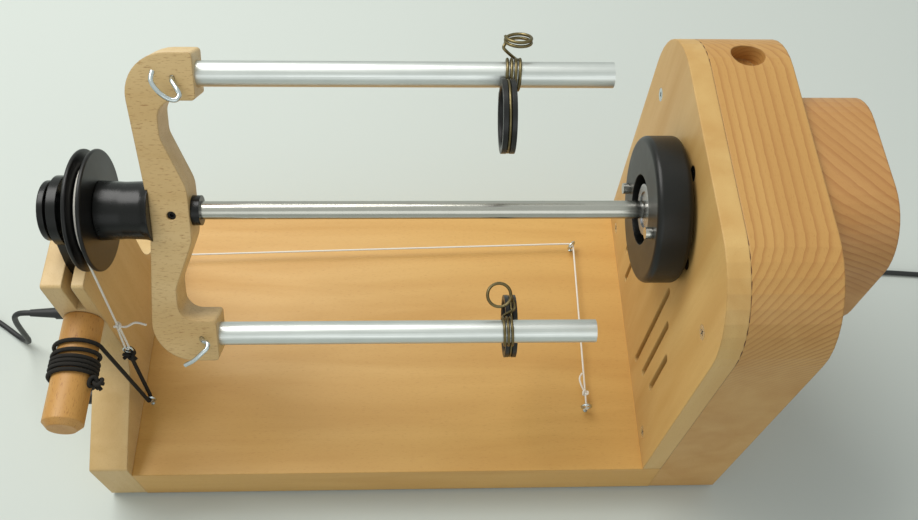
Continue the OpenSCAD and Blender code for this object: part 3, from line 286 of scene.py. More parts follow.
def growth_rings(n, grain, turn, pith, width, stray, low, high, shade):
    """Rings round the pith: their lines, and how much of the lines shows.

    pith is its place in turned coordinates and width that of one ring. The rings stray from round by
    up to stray, come in between the heights low and high, and are at most shade dark.
    """
    wander = n.noise(n.coords(stretch(grain, 2.5, 9), turn), 2)
    shift = n.node("ShaderNodeVectorMath", operation="MULTIPLY_ADD")
    n.link(wander, shift.inputs[0])
    shift.inputs[1].default_value = (stray, stray, stray)
    n.link(n.coords((1, 1, 1), turn, [-v for v in pith]), shift.inputs[2])
    wave = n.node("ShaderNodeTexWave", wave_type="RINGS", rings_direction=grain, wave_profile="SAW")
    wave.inputs["Scale"].default_value = WAVE_WIDTH / width
    wave.inputs["Distortion"].default_value = 0.6
    wave.inputs["Detail"].default_value = 2
    wave.inputs["Detail Scale"].default_value = 1.5
    n.link(shift.outputs[0], wave.inputs["Vector"])
    lines = n.ramp(wave.outputs["Fac"], [(0.0, 0.0), (0.55, 0.12), (0.86, 0.75), (0.97, 1.0), (1.0, 0.1)])
    strength = n.ramp(n.noise(n.coords((9, 9, 9)), 2), [(0.3, shade * 0.45), (0.7, shade)])
    height_of = n.node("ShaderNodeSeparateXYZ")
    n.link(n.coords(), height_of.inputs[0])
    come_in = n.node("ShaderNodeMapRange", interpolation_type="SMOOTHSTEP")
    come_in.inputs["From Min"].default_value = low
    come_in.inputs["From Max"].default_value = high
    n.link(height_of.outputs["Z"], come_in.inputs["Value"])
    shown = n.math("MULTIPLY", n.math("MULTIPLY", lines, strength), come_in.outputs["Result"])
    return lines, shown


def wood(name, light, dark, fleck, grain, turn=(0, 0, 0), rings=None, flecks=0.5):
    """Oiled beech: soft streaks along the grain, short dark flecks and, where sawn flat, rings."""
    n = Nodes(name)
    streak = n.noise(n.coords(stretch(grain, 5, 46), turn), 3, 0.55, 0.4)
    broad = n.noise(n.coords(stretch(grain, 2.2, 9), turn), 2)
    colour = n.mix(n.ramp(streak, [(0.32, 0.0), (0.68, 1.0)]), dark, light)
    colour = n.mix(1.0, colour, n.ramp(broad, [(0.3, 0.90), (0.7, 1.0)]), "MULTIPLY")
    height = streak
    if rings:
        lines, shown = growth_rings(n, grain, turn, **rings)
        colour = n.mix(shown, colour, fleck)
        height = n.math("ADD", height, n.math("MULTIPLY", lines, -0.35))
    dash = n.noise(n.coords(stretch(grain, 330, 2100), turn), 2, 0.5, 0.2)
    mask = n.ramp(dash, [(0.58, 0.0), (0.70, flecks)])
    colour = n.mix(mask, colour, fleck)
    fibre = n.noise(n.coords(stretch(grain, 60, 2600), turn), 2)
    colour = n.mix(n.ramp(fibre, [(0.35, 0.0), (0.75, 0.22)]), colour, dark)
    height = n.math("ADD", height, n.math("MULTIPLY", mask, -0.5))
    height = n.math("ADD", height, n.math("MULTIPLY", fibre, 0.3))
    return n.set(Base_Color=colour, Roughness=n.ramp(streak, [(0.3, 0.50), (0.7, 0.40)]),
                 Normal=n.bump(height, 0.12, 0.0006, n.soft_edge(0.0011, 6)), Specular_IOR_Level=0.42)


def metal(name, colour, rough=0.25, grain=None, wear=0.15, bump=0.02):
    """Bare metal with fine turning or drawing lines and faint blotches."""
    n = Nodes(name)
    blotch = n.noise(n.coords((60, 60, 60)), 3)
    fine = n.noise(n.coords(stretch(grain, 12, 1800) if grain else (900, 900, 900)), 2)
    dull = tuple(c * 0.72 for c in colour)
    shade = n.mix(n.ramp(blotch, [(0.35, 0.0), (0.75, wear * 2)]), colour, dull)
    shade = n.mix(n.ramp(fine, [(0.4, 0.0), (0.8, 0.25)]), shade, dull)
    roughness = n.ramp(fine, [(0.3, rough * 0.8), (0.8, min(1.0, rough * 1.5))])
    return n.set(Base_Color=shade, Metallic=1.0, Roughness=roughness,
                 Normal=n.bump(fine, bump * 5, 0.0001))


def plastic(name, colour, rough=0.4, grain_size=1400, bump=0.08, sheen=0.5, lines=None):
    """Moulded or turned plastic with a fine skin and faint handling marks."""
    n = Nodes(name)
    skin = n.noise(n.coords(stretch(lines, grain_size * 2, 60) if lines else (grain_size,) * 3), 2)
    mark = n.noise(n.coords((35, 35, 35)), 4, 0.6)
    lighter = tuple(min(1.0, c * 1.35 + 0.004) for c in colour)
    shade = n.mix(n.ramp(mark, [(0.45, 0.0), (0.8, 0.6)]), colour, lighter)
    roughness = n.ramp(mark, [(0.3, rough * 0.88), (0.75, min(1.0, rough * 1.2))])
    normal = n.bump(skin, bump, 0.0001, n.soft_edge(0.0005, 4))
    return n.set(Base_Color=shade, Roughness=roughness, Normal=normal, Specular_IOR_Level=sheen)


def woven(name, colour, light, twist):
    """A braided or twisted cord's cover: fine slanting ribs with a little fuzz."""
    n = Nodes(name)
    ribs = n.node("ShaderNodeTexWave", bands_direction="DIAGONAL")
    ribs.inputs["Scale"].default_value = twist
    ribs.inputs["Distortion"].default_value = 1.5
    n.link(n.coords(), ribs.inputs["Vector"])
    fuzz = n.noise(n.coords((1600, 1600, 1600)), 2)
    shade = n.mix(n.ramp(ribs.outputs["Fac"], [(0.3, 0.0), (0.8, 1.0)]), colour, light)
    shade = n.mix(n.ramp(fuzz, [(0.4, 0.0), (0.8, 0.4)]), shade, light)
    return n.set(Base_Color=shade, Roughness=0.85, Normal=n.bump(ribs.outputs["Fac"], 0.3, 0.0002),
                 Specular_IOR_Level=0.25)


def speckled_board(name):
    """A circuit board's green lacquer with darker tracks."""
    n = Nodes(name)
    tracks = n.node("ShaderNodeTexBrick")
    tracks.inputs["Scale"].default_value = 90
    n.feed(srgb(20, 92, 50), tracks.inputs["Color1"])
    n.feed(srgb(24, 104, 58), tracks.inputs["Color2"])
    n.feed(srgb(14, 62, 36), tracks.inputs["Mortar"])
    n.link(n.coords(), tracks.inputs["Vector"])
    return n.set(Base_Color=tracks.outputs["Color"], Roughness=0.35)


BEECH = dict(light=srgb(222, 193, 138), dark=srgb(205, 172, 114), fleck=srgb(160, 118, 68))
BASE = dict(light=srgb(219, 175, 99), dark=srgb(205, 157, 82), fleck=srgb(172, 116, 55))
RED = dict(light=srgb(205, 160, 92), dark=srgb(194, 146, 80), fleck=srgb(150, 92, 42))
HOUSING_RINGS = dict(pith=(0.262, 0, 0.09), width=0.0026, stray=0.012, low=0.14, high=0.20, shade=0.75)
COVER_RINGS = dict(pith=(0.06, 0, 0.10), width=0.0034, stray=0.012, low=0.17, high=0.20, shade=0.7)

MATERIALS = {
    "wood_pale": wood("wood_pale", grain="Z", flecks=0.30, **BEECH),
    "wood_arm": wood("wood_arm", grain="X", flecks=0.85, **BEECH),
    "wood_base": wood("wood_base", grain="X", flecks=0.28, **BASE),
    "wood_plate": wood("wood_plate", grain="Z", flecks=0.22, light=srgb(214, 178, 112),
                       dark=srgb(200, 158, 92), fleck=srgb(170, 120, 62)),
    "wood_housing": wood("wood_housing", grain="Y", flecks=0.2, rings=HOUSING_RINGS, **RED),
    "wood_cover": wood("wood_cover", grain="Y", flecks=0.2, turn=(0, 0, -38), rings=COVER_RINGS,
                       light=srgb(200, 152, 92), dark=srgb(188, 138, 78), fleck=srgb(150, 92, 46)),
    "wood_peg": wood("wood_peg", grain="Y", flecks=0.7, light=srgb(204, 158, 88),
                     dark=srgb(188, 136, 68), fleck=srgb(146, 92, 42)),
    # A dark wood colour for the thin wire along the plate's seam: painted shade, standing in for the
    # shadow in the groove between plate and housing.
    "painted_seam_shade": wood("painted_seam_shade", grain="Y", light=srgb(112, 70, 38), dark=srgb(92, 56, 30),
                      fleck=srgb(70, 40, 22)),
    "zinc": metal("zinc", srgb(206, 214, 216), 0.22, bump=0.03),
    "steel": metal("steel", srgb(176, 178, 182), 0.32),
    "polished_steel": metal("polished_steel", srgb(188, 186, 178), 0.2, grain="X"),
    "dark_steel": metal("dark_steel", srgb(44, 43, 42), 0.45),
    "bearing_steel": metal("bearing_steel", srgb(168, 168, 170), 0.28),
    "motor_case": metal("motor_case", srgb(86, 88, 92), 0.5),
    "aluminium": metal("aluminium", srgb(214, 217, 214), 0.36, grain="X", bump=0.04),
    "antique_brass": metal("antique_brass", srgb(120, 108, 76), 0.34, wear=0.3),
    "circuit_board": speckled_board("circuit_board"),
    "rubber": plastic("rubber", srgb(28, 28, 28), 0.75),
    "socket_plastic": plastic("socket_plastic", srgb(20, 20, 20), 0.45, sheen=0.4),
    "rocker_plastic": plastic("rocker_plastic", srgb(24, 24, 24), 0.25),
    "knob_plastic": plastic("knob_plastic", srgb(18, 18, 18), 0.4, sheen=0.4),
    "black_plastic": plastic("black_plastic", srgb(13, 13, 12), 0.27, lines="X", sheen=0.32),
    "black_disc": plastic("black_disc", srgb(20, 20, 18), 0.36, lines="X", sheen=0.34),
    "black_pulley": plastic("black_pulley", srgb(13, 12, 12), 0.34, lines="X", sheen=0.32),
    "bearing_plastic": plastic("bearing_plastic", srgb(26, 26, 25), 0.38, sheen=0.35),
    "grip_plastic": plastic("grip_plastic", srgb(18, 18, 17), 0.36, sheen=0.4),
    "plug_plastic": plastic("plug_plastic", srgb(26, 26, 27), 0.5),
    "adapter_plastic": plastic("adapter_plastic", srgb(30, 30, 31), 0.55, grain_size=2200, bump=0.15),
    "lead": plastic("lead", srgb(25, 26, 26), 0.5, bump=0.05),
    "elastic": woven("elastic", srgb(20, 19, 18), srgb(48, 45, 40), 1100),
    "cotton": woven("cotton", srgb(226, 222, 208), srgb(246, 243, 232), 1300),
}


def finish_of(piece, slot):
    """Gives a new piece one of the record's finishes."""
    piece.data.materials.clear()
    piece.data.materials.append(MATERIALS[slot])
    return piece


def on_body(piece, slot, body, *nodes):
    """Finish, body and the solids that a piece stands for."""
    finish_of(piece, slot)
    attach(piece, body)
    if nodes:
        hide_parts(*nodes)
    return piece


def finish_solids():
    """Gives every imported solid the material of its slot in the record."""
    slot_of = {entry["node"]: entry["material_slot"] for entry in frame["record"]["subparts"]}
    for node, solid in frame["nodes"].items():
        solid.data.materials.clear()
        solid.data.materials.append(MATERIALS[slot_of[node]])


finish_solids()

# ---------------------------------------------------------------- camera, before all that it sees

PHOTO_W = 918
FOCAL_PX = 909.26
SENSOR = 36
CAMERA_AT = (197.67, -167.32, BASE_TOP + 541.98)
CAMERA_DOWN = 59.665
CAMERA_YAW = 4.356
CAMERA_ROLL = 3.547


def make_camera():
    """The photograph's viewpoint, found from the machine's corners and round parts."""
    yaw, pitch, roll = (math.radians(v) for v in (CAMERA_YAW, CAMERA_DOWN, CAMERA_ROLL))
    ahead = Vector((math.sin(yaw) * math.cos(pitch), math.cos(yaw) * math.cos(pitch), -math.sin(pitch)))
    level = Vector((math.cos(yaw), -math.sin(yaw), 0))
    above = level.cross(ahead)
    right = math.cos(roll) * level + math.sin(roll) * above
    up = -math.sin(roll) * level + math.cos(roll) * above
    camera = linked("camera", bpy.data.cameras.new("camera"))
    camera.data.sensor_width = SENSOR
    camera.data.sensor_fit = "HORIZONTAL"
    camera.data.lens = FOCAL_PX / PHOTO_W * SENSOR
    camera.data.clip_start = 0.01
    camera.data.clip_end = 50
    axes = Matrix((right, up, -ahead)).transposed().to_4x4()
    camera.matrix_world = Matrix.Translation(mm(*CAMERA_AT)) @ axes
    bpy.context.scene.camera = camera


make_camera()

# ---------------------------------------------------------------- leads, as the solids lay them

LOOP_RINGS = 36
COIL_LAYERS = 4
COIL_MEAN_R = 20
CLIMB_TURNS = 0.25
LOOP_PITCH = LEAD_D + 0.6
LAYER_H = LEAD_D + 0.5
TIE_T = 0.8
COIL_Z = TIE_T + SEAT_GAP + LEAD_D / 2
POWER_COIL = dict(centre=(605, 128), start=90, way=-1, loops=9.25)
PEDAL_COIL = dict(centre=(-135, 108), start=90, way=1, loops=7.25)
POWER_PLUG_END = Vector((BOX_END + 40, 122, BASE_TOP + 12))
PEDAL_PLUG_END = Vector((-46, AXIS_Y, BASE_TOP + 31))
POWER_POINTS = [
    (436, 122.8, 48.6), (445, 126, 42), (452, 130, 30), (458, 134, 17), (466, 139, 6),
    (478, 145, 1.9), (492, 151, 1.8), (507, 155.5, 1.8), (523, 158, 1.8), (539, 158, 1.8),
    (555, 156.9, 1.8), (570, 155.7, 1.9), (584, 154.6, 2.3),
]
PEDAL_POINTS = [
    (-54, 94.2, 67.6), (-58.5, 94.8, 62), (-61.5, 95.8, 52), (-63.5, 97, 41), (-65.5, 98.5, 29),
    (-68, 100.5, 17), (-72.5, 103.5, 7.5), (-80, 108.5, 2.6), (-89, 115, 1.8), (-98, 121.2, 1.8),
    (-108, 127, 1.8), (-118.5, 130.8, 2.1),
]
PLUG_Z = PLUG_D / 2 + 0.1


def coil_route(centre, start, way, loops):
    """A pile of spiral layers, in and out again, climbing a layer where the spiral turns back.

    Half of each climb is in the last quarter turn of a layer and half in the first of the next.
    """
    per = loops / COIL_LAYERS
    outer = COIL_MEAN_R + LOOP_PITCH * per / 2
    points = []
    for k in range(round(loops * LOOP_RINGS) + 1):
        t = k / LOOP_RINGS
        layer = min(COIL_LAYERS - 1, math.floor(t / per))
        share = t / per - layer
        r = outer - LOOP_PITCH * per * (share if layer % 2 == 0 else 1 - share)
        gone, left = share * per, per - share * per
        climb = 0
        if layer < COIL_LAYERS - 1 and left < CLIMB_TURNS:
            climb += 0.5 * (1 - left / CLIMB_TURNS)
        if layer > 0 and gone < CLIMB_TURNS:
            climb -= 0.5 * (1 - gone / CLIMB_TURNS)
        a = math.radians(start + way * 360 * t)
        points.append(Vector((centre[0] + r * math.cos(a), centre[1] + r * math.sin(a),
                              COIL_Z + LAYER_H * (layer + climb))))
    first = points[0] - (points[1] - points[0]).normalized() * LEAD_D
    last = points[-1] + (points[-1] - points[-2]).normalized() * LEAD_D
    return [first] + points + [last]


def lead_route(start, way, points, coil):
    """Straight out of the plug, along the points and straight into the coil."""
    join = coil[0] - (coil[1] - coil[0]).normalized() * LEAD_D
    middle = [start + Vector((way * LEAD_D, 0, 0))] + [Vector(p) for p in points] + [join]
    return [start] + smooth(middle, 3)


def make_lead(name, route, nodes):
    """One lead from its plug to its far end, as a round wire."""
    points = points_mm(route)
    piece = on_body(wire(name, points, LEAD_D, 5), "lead", "frame", *nodes)


def make_power_lead():
    """From the socket in the housing to the coil and the mains adapter."""
    coil = coil_route(**POWER_COIL)
    out = coil[-1] - Vector((0, LEAD_D, 0))
    route = lead_route(POWER_PLUG_END, 1, POWER_POINTS, coil) + coil + [out]
    make_lead("power_lead_run", route, ["power_lead", "power_coil"])


def make_pedal_lead():
    """From the socket in the upright to the coil, and down from it to the far plug."""
    coil = coil_route(**PEDAL_COIL)
    end = coil[-1]
    drop = [
        end + Vector((0, -6, -0.8)), end + Vector((0.4, -13, -4)), end + Vector((1, -20, -8)),
        Vector((end.x + 1.4, end.y - 28, PLUG_Z + 0.6)), Vector((end.x + 1.5, end.y - 34, PLUG_Z)),
    ]
    tail = smooth(drop, 3) + [drop[-1] - Vector((0, LEAD_D, 0))]
    route = lead_route(PEDAL_PLUG_END, -1, PEDAL_POINTS, coil) + coil + tail
    make_lead("pedal_lead_run", route, ["pedal_lead", "pedal_coil"])


make_power_lead()
make_pedal_lead()

# ---------------------------------------------------------------- elastic and brake line

WIND_Y = POST_FRONT - 16.5
WIND_TURNS = 6
WIND_STEPS = 32
WIND_R = PEG_D / 2 + ELASTIC_D / 2 + 0.25

# How far along the peg the elastic is after so many turns: one, four close together, one.
WIND_MARKS = [(0, 0), (1, 5), (1.5, 8), (2, 9.6), (3, 12), (4, 14.4), (5, 16.8), (6, 21)]

SPAN_BEND = (EYE_WIRE + ELASTIC_D) / 2 + SEAT_GAP + FIT_GAP
FRONT_EYE = (PULLEY_X, WIND_Y + SPAN_BEND)
BACK_EYE = (PULLEY_X + (EYE_WIRE + LINE_D) / 2 + SEAT_GAP + FIT_GAP, 150)
FAR_BACK_EYE = (299.5, 156.5)
FAR_FRONT_EYE = (299, 38.5)
CLIP_LOW = Vector((PULLEY_X, 54, BASE_TOP + 55))
KNOT_AT = Vector((PULLEY_X, 59, BASE_TOP + 83))
CLIP_DIR = (KNOT_AT - CLIP_LOW).normalized()
CLIP_RING_AT = CLIP_LOW + CLIP_DIR * 5.4
CLIP_RING_R = 2.6
CLIP_RING_WIRE = 1.1
CLIP_RING_STEPS = 24
LINE_R = PULLEY_D / 2 - GROOVE_DEPTH + LINE_D / 2 + SEAT_GAP
LINE_STEPS = 48
LINE_BEND = 1.2
BEND_STEPS = 5
KNOT_STEPS = 72
WHITE_KNOT = 3.8
ELASTIC_KNOT = 6.4
ELASTIC_LUMP = 7
KNOT_CORD_D = ELASTIC_D * 0.9


def wind_start():
    """The angle round the peg at which the elastic leaves it, that point and the way it goes."""
    dx, dz = FRONT_EYE[0] - PEG_X, EYE_Z - PEG_Z
    angle = math.atan2(dz, dx) + math.acos(WIND_R / math.hypot(dx, dz))
    at = Vector((PEG_X + WIND_R * math.cos(angle), WIND_Y, PEG_Z + WIND_R * math.sin(angle)))
    return angle, at, Vector((math.sin(angle), 0, -math.cos(angle)))


def along_peg(turns):
    """How far along the peg the elastic is, between the marks."""
    for (t0, y0), (t1, y1) in zip(WIND_MARKS, WIND_MARKS[1:]):
        if turns <= t1:
            return y0 + (y1 - y0) * (turns - t0) / (t1 - t0)
    return WIND_MARKS[-1][1]


def winding_route():
    """The elastic round the peg, from where its span leaves to its loose end."""
    angle, at, out = wind_start()
    route = [at + out * ELASTIC_D]
    for k in range(WIND_TURNS * WIND_STEPS + 1):
        a = angle + 2 * math.pi * k / WIND_STEPS
        route.append(Vector((PEG_X + WIND_R * math.cos(a), WIND_Y - along_peg(k / WIND_STEPS),
                             PEG_Z + WIND_R * math.sin(a))))
    return route


def span_route():
    """From the peg down through the front eye and up to the ring of the brake line."""
    _, at, out = wind_start()
    first = at + out * (ELASTIC_D + FIT_GAP)
    around = []
    for t in range(0, 181, 10):
        a = math.radians(t)
        around.append(Vector((FRONT_EYE[0], FRONT_EYE[1] - SPAN_BEND * math.cos(a),
                              EYE_Z + EYE_RING - SPAN_BEND * math.sin(a))))
    return [first, first + out * ELASTIC_D] + around + [CLIP_LOW - CLIP_DIR * ELASTIC_D, CLIP_LOW]


def eased(points, reach):
    """The points with each bend rounded within the given reach."""
    out = [points[0]]
    for a, p, b in zip(points, points[1:], points[2:]):
        u, v = a - p, b - p
        d = min(reach, u.length * 0.45, v.length * 0.45)
        s, e = p + u.normalized() * d, p + v.normalized() * d
        for k in range(BEND_STEPS + 1):
            t = k / BEND_STEPS
            out.append(s * (1 - t) ** 2 + p * (2 * t * (1 - t)) + e * t * t)
    return out + [points[-1]]


def touch(y, z, side):
    """The angle at which a straight line from a point meets the pulley's groove."""
    dy, dz = y - AXIS_Y, z - AXIS_Z
    return math.atan2(dz, dy) + side * math.acos(LINE_R / math.hypot(dy, dz))


def line_route():
    """From its knot over the pulley, down through the back eye and round the far eyes."""
    start = touch(KNOT_AT.y, KNOT_AT.z, -1) + 2 * math.pi
    end = touch(BACK_EYE[1], EYE_Z, 1)
    route = [KNOT_AT]
    for i in range(LINE_STEPS + 1):
        a = start + (end - start) * i / LINE_STEPS
        route.append(Vector((PULLEY_X, AXIS_Y + LINE_R * math.cos(a), AXIS_Z + LINE_R * math.sin(a))))
    back = Vector((*BACK_EYE, EYE_Z))
    far_back = Vector((*FAR_BACK_EYE, EYE_Z))
    far_front = Vector((*FAR_FRONT_EYE, EYE_Z))
    low = eased([
        route[-1], Vector((PULLEY_X, back.y, back.z + 0.3)), back + Vector((5, 0, 0)),
        far_back + Vector((-5, LINE_BEND, 0)), far_back + Vector((LINE_BEND, LINE_BEND, 0)),
        far_back + Vector((LINE_BEND, -5, 0)), far_front + Vector((0, 9, 0)),
    ], 3)
    return route + low[1:] + [far_front, far_front - Vector((0, 2, 0))]


def knot_route(at, size, up):
    """A small overhand knot: the three lobes of a trefoil, drawn tight."""
    up = up.normalized()
    side = up.orthogonal().normalized()
    other = up.cross(side)
    route = []
    for k in range(KNOT_STEPS + 1):
        t = 2 * math.pi * k / KNOT_STEPS
        x = math.sin(t) + 2 * math.sin(2 * t)
        y = math.cos(t) - 2 * math.cos(2 * t)
        z = -math.sin(3 * t)
        route.append(at + (side * x + other * y) * (size / 6) + up * z * (size / 3.2))
    return route


def make_cord(name, route, diameter, slot, body, sides, *nodes):
    """One wire or cord along a route in millimetres."""
    on_body(wire(name, points_mm(route), diameter, sides), slot, body, *nodes)


def tails(name, at, ends, diameter, slot, body):
    """The cut ends that leave a knot, each through its own points, counted from the knot."""
    for i, points in enumerate(ends):
        route = [at] + [at + Vector(p) for p in points]
        make_cord(f"{name}_tail_{i}", smooth(route, 5), diameter, slot, body, 4)


def white_knot(name, at, up, tail):
    """A knot in the line, with one cut end."""
    make_cord(name, knot_route(at, WHITE_KNOT, up), LINE_D, "cotton", "frame", 4)
    tails(name, at, [tail], LINE_D, "cotton", "frame")


def black_knot(name, at, up, size, body, ends):
    """A knot in the elastic, with a cut end out to each of the given places."""
    make_cord(name, knot_route(at, size, up), KNOT_CORD_D, "elastic", body, 4)
    tails(name, at, [[Vector(e) * 0.5, e] for e in ends], KNOT_CORD_D, "elastic", body)


def make_clip():
    """The steel ring between elastic and line, and the line's loop through it."""
    side = Vector((1, 0, 0))
    turn = [2 * math.pi * k / CLIP_RING_STEPS for k in range(CLIP_RING_STEPS + 1)]
    ring = [CLIP_RING_AT + CLIP_RING_R * (CLIP_DIR * math.cos(a) + side * math.sin(a)) for a in turn]
    make_cord("line_ring", ring, CLIP_RING_WIRE, "zinc", "frame", 4, "line_clip")
    top = CLIP_RING_AT + CLIP_DIR * 1.6
    loop = [KNOT_AT + 0.6 * side, top + 1.1 * side + 3 * CLIP_DIR, top + 0.7 * side,
            top - 0.9 * CLIP_DIR, top - 0.7 * side, top - 1.1 * side + 3 * CLIP_DIR,
            KNOT_AT - 0.6 * side]
    make_cord("line_loop", smooth(loop, 5), LINE_D, "cotton", "frame", 4)


def make_brake():
    """The white line, the elastic and what joins them."""
    make_cord("brake_line_run", line_route(), LINE_D, "cotton", "frame", 4, "brake_line")
    make_cord("elastic_run", span_route(), ELASTIC_D, "elastic", "frame", 5, "elastic_span")
    winding = winding_route()
    make_cord("elastic_turns", winding, ELASTIC_D, "elastic", "peg", 5, "elastic_winding")
    make_clip()
    along = Vector((0, 1, 0))
    white_knot("line_knot", KNOT_AT, CLIP_DIR, [(5, -1, 1), (10, 1, 2), (16, 0, 1)])
    far_knot = Vector((FAR_FRONT_EYE[0], FAR_FRONT_EYE[1] + 9, EYE_Z))
    white_knot("far_knot", far_knot, along, [(-2, 4, 1.5), (-3, 9, 2), (-1, 13, 1)])
    low = CLIP_LOW + CLIP_DIR * 1.6
    black_knot("elastic_knot", low, CLIP_DIR, ELASTIC_KNOT, "frame", [(3.5, -2.5, -3), (-3.5, -2.5, -1.5)])
    lump = winding[-1] + Vector((1.6, -0.5, 1.2))
    black_knot("elastic_lump", lump, along, ELASTIC_LUMP, "peg", [(4.5, -1, 0.5), (3, -3.5, -2)])


make_brake()

# ---------------------------------------------------------------- painted shade along the seam between plate and housing

SEAM_D = 0.64
SEAM_IN = 0.3
CORNER_STEPS = 12


def seam_route():
    """Up the front side, round both top corners and down the back, just under the surface."""
    r = BOX_R - SEAM_IN
    high = BOX_TOP - BOX_R
    route = [Vector((BOX_X, SEAM_IN, z)) for z in (BASE_TOP, (BASE_TOP + high) / 2)]
    for middle, start in ((BOX_R, 180), (BASE_W - BOX_R, 90)):
        for k in range(CORNER_STEPS + 1):
            a = math.radians(start - 90 * k / CORNER_STEPS)
            route.append(Vector((BOX_X, middle + r * math.cos(a), high + r * math.sin(a))))
    return route + [Vector((BOX_X, BASE_W - SEAM_IN, z)) for z in ((BASE_TOP + high) / 2, BASE_TOP)]


# A thin dark wire just under the surface: painted shade where the plate meets the housing.
on_body(wire("painted_plate_seam_shade", points_mm(seam_route()), SEAM_D, 2), "painted_seam_shade", "frame")

# ---------------------------------------------------------------- hooks and sliding guides

ARM_FACE = -ARM_T / 2
UPPER_HOOK = [
    (77.4, ARM_FACE + 5, 69.4), (77.4, ARM_FACE, 69.4), (77.4, ARM_FACE - 0.6, 69.4),
    (78.2, ARM_FACE - 3.5, 68.2), (80.6, ARM_FACE - 6, 65.4), (82, ARM_FACE - 7.5, 62.6),
    (80.6, ARM_FACE - 9, 60.6), (77.2, ARM_FACE - 9.5, 61.2), (73, ARM_FACE - 9.5, 64.4),
    (69.6, ARM_FACE - 8, 69.2), (70, ARM_FACE - 5.5, 73.6),
]
LOWER_HOOK = [
    (79.2, ARM_FACE + 2.8, -68.6), (79.2, ARM_FACE, -68.6), (79.2, ARM_FACE - 0.6, -68.6),
    (80.6, ARM_FACE - 3.2, -68.4), (83.2, ARM_FACE - 5.4, -68.6), (83.6, ARM_FACE - 7.4, -70.4),
    (80.8, ARM_FACE - 8.6, -73), (76.4, ARM_FACE - 8.8, -77), (71.2, ARM_FACE - 7.5, -80.4),
]


def make_hook(name, route, node):
    points = [in_flyer(*p) for p in smooth([Vector(p) for p in route], 6)]
    on_body(wire(name, points, HOOK_D, 5), "zinc", "flyer", node)


COIL_R = TUBE_D / 2 + COIL_GAP + WIRE_D / 2
GRIP_WIRE_R = GRIP_D / 2 - 0.9
GRIP_REACH = COIL_R + GRIP_WIRE_R
EYE_TURNS = 2
TURN_STEPS = 30
RING_STEPS = 60
RING_START = 2
RING_END = RING_STEPS - 4
UPPER_GUIDE = dict(side=1, eye_a=58, eye_tilt=23, eye_out=17, eye_x=2.9, grip_a=-95, turns=3.43)
LOWER_GUIDE = dict(side=-1, eye_a=64, eye_tilt=-26, eye_out=20, eye_x=4.6, grip_a=147, turns=2.77)


def guide_route(side, eye_a, eye_tilt, eye_out, eye_x, grip_a, turns):
    """Yarn eye, stem, coil round the tube, then one turn round the grip ring.

    eye_a and grip_a are where the eye and the grip stand round the tube, in degrees. The eye lies
    tilted by eye_tilt, eye_out from the tube's middle and eye_x along it.
    """
    centre = Vector((side * eye_x, 0, 0)) + ray(eye_a) * eye_out
    normal, across = ray(eye_tilt), ray(eye_tilt + 90)
    along = Vector((side, 0, 0))
    coil_len = COIL_PITCH * turns
    eye = []
    for k in range(EYE_TURNS * TURN_STEPS + 1):
        a = math.radians(180 - 360 * EYE_TURNS + 360 * k / TURN_STEPS)
        eye.append(centre + (along * math.cos(a) + across * math.sin(a)) * (GUIDE_EYE_D / 2)
                   - normal * COIL_PITCH * (k / TURN_STEPS - EYE_TURNS / 2))
    sweep = turns * 360
    first_a = grip_a + sweep
    count = round(turns * TURN_STEPS)
    coil = [ray(first_a - sweep * k / count) * COIL_R + along * coil_len * (0.5 - k / count)
            for k in range(count + 1)]
    stem = smooth([eye[-1], ray(eye_a + 6) * (COIL_R + 5.5) - along * 4,
                   ray(first_a + 28) * (COIL_R + 2.4) + along * coil_len * 0.3, coil[0]], 6)
    ring_at = ray(grip_a) * GRIP_REACH - along * coil_len / 2
    start = ray(grip_a - 90)
    ring = []
    for k in range(RING_START, RING_END + 1):
        a = 2 * math.pi * k / RING_STEPS
        ring.append(ring_at + (start * math.sin(a) - ray(grip_a) * math.cos(a)) * GRIP_WIRE_R)
    return eye + stem[1:-1] + coil + ring


def make_guide(name, guide, x, body):
    middle = Vector((x, AXIS_Y, AXIS_Z)) + ray(LEAN) * TUBE_R * guide["side"]
    points = points_mm(middle + p for p in guide_route(**guide))
    on_body(wire(name, points, WIRE_D, 5), "antique_brass", body, body + "_wire")


make_hook("upper_hook_bend", UPPER_HOOK, "upper_hook")
make_hook("lower_hook_bend", LOWER_HOOK, "lower_hook")
make_guide("upper_guide_bend", UPPER_GUIDE, UPPER_GUIDE_X, "upper_guide")
make_guide("lower_guide_bend", LOWER_GUIDE, LOWER_GUIDE_X, "lower_guide")

# ---------------------------------------------------------------- floor, world and lights

FLOOR_SIZE = 9
FLOOR_COLOUR = srgb(206, 214, 207)
SKY_COLOUR = (0.97, 0.99, 1.0)
SKY_LIGHT = 0.42
SKY_SEEN = srgb(214, 220, 215)
LAMP_AIM = (0.0, 0.0, 0.1)
KEY_LAMP = dict(at=(-0.55, 0.5, 1.3), size=(1.1, 0.8), watts=17, colour=(1.0, 0.985, 0.96))
FILL_LAMP = dict(at=(0.2, -1.5, 0.9), size=(1.6, 1.0), watts=4, colour=(0.95, 0.98, 1.0))


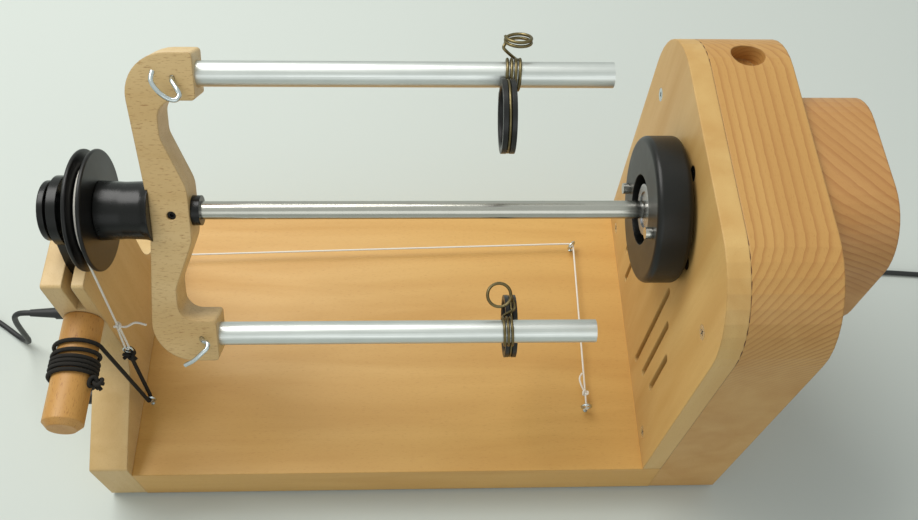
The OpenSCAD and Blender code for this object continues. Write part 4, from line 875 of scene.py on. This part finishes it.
def make_floor():
    """A plain floor, much larger than the picture shows."""
    bm = bmesh.new()
    bmesh.ops.create_grid(bm, x_segments=1, y_segments=1, size=FLOOR_SIZE / 2)
    mesh = bpy.data.meshes.new("floor")
    bm.to_mesh(mesh)
    bm.free()
    floor = linked("floor", mesh)
    finish = Nodes("floor").set(Base_Color=FLOOR_COLOUR, Roughness=0.75, Specular_IOR_Level=0.2)
    floor.data.materials.append(finish)


def make_world():
    """A pale room: soft light all round, and its own colour where it is seen or mirrored."""
    world = bpy.data.worlds.new("room")
    bpy.context.scene.world = world
    world.use_nodes = True
    tree = world.node_tree
    tree.nodes.clear()
    paths = tree.nodes.new("ShaderNodeLightPath")
    seen = paths.outputs["Is Camera Ray"]
    for name in ("Is Glossy Ray", "Is Transmission Ray"):
        most = tree.nodes.new("ShaderNodeMath")
        most.operation = "MAXIMUM"
        tree.links.new(seen, most.inputs[0])
        tree.links.new(paths.outputs[name], most.inputs[1])
        seen = most.outputs[0]
    light = tree.nodes.new("ShaderNodeBackground")
    light.inputs["Color"].default_value = (*SKY_COLOUR, 1)
    light.inputs["Strength"].default_value = SKY_LIGHT
    look = tree.nodes.new("ShaderNodeBackground")
    look.inputs["Color"].default_value = (*SKY_SEEN, 1)
    mixer = tree.nodes.new("ShaderNodeMixShader")
    tree.links.new(seen, mixer.inputs[0])
    tree.links.new(light.outputs[0], mixer.inputs[1])
    tree.links.new(look.outputs[0], mixer.inputs[2])
    output = tree.nodes.new("ShaderNodeOutputWorld")
    tree.links.new(mixer.outputs[0], output.inputs["Surface"])


def make_lamp(name, at, size, watts, colour):
    """A soft lamp that shines on the machine."""
    lamp = bpy.data.lights.new(name, "AREA")
    lamp.shape = "RECTANGLE"
    lamp.size, lamp.size_y = size
    lamp.energy = watts
    lamp.color = colour
    piece = linked(name, lamp)
    piece.location = at
    piece.rotation_euler = (Vector(LAMP_AIM) - Vector(at)).to_track_quat("-Z", "Y").to_euler()


make_floor()
make_world()
make_lamp("key", **KEY_LAMP)
make_lamp("fill", **FILL_LAMP)

bpy.context.scene.view_settings.view_transform = "Standard"
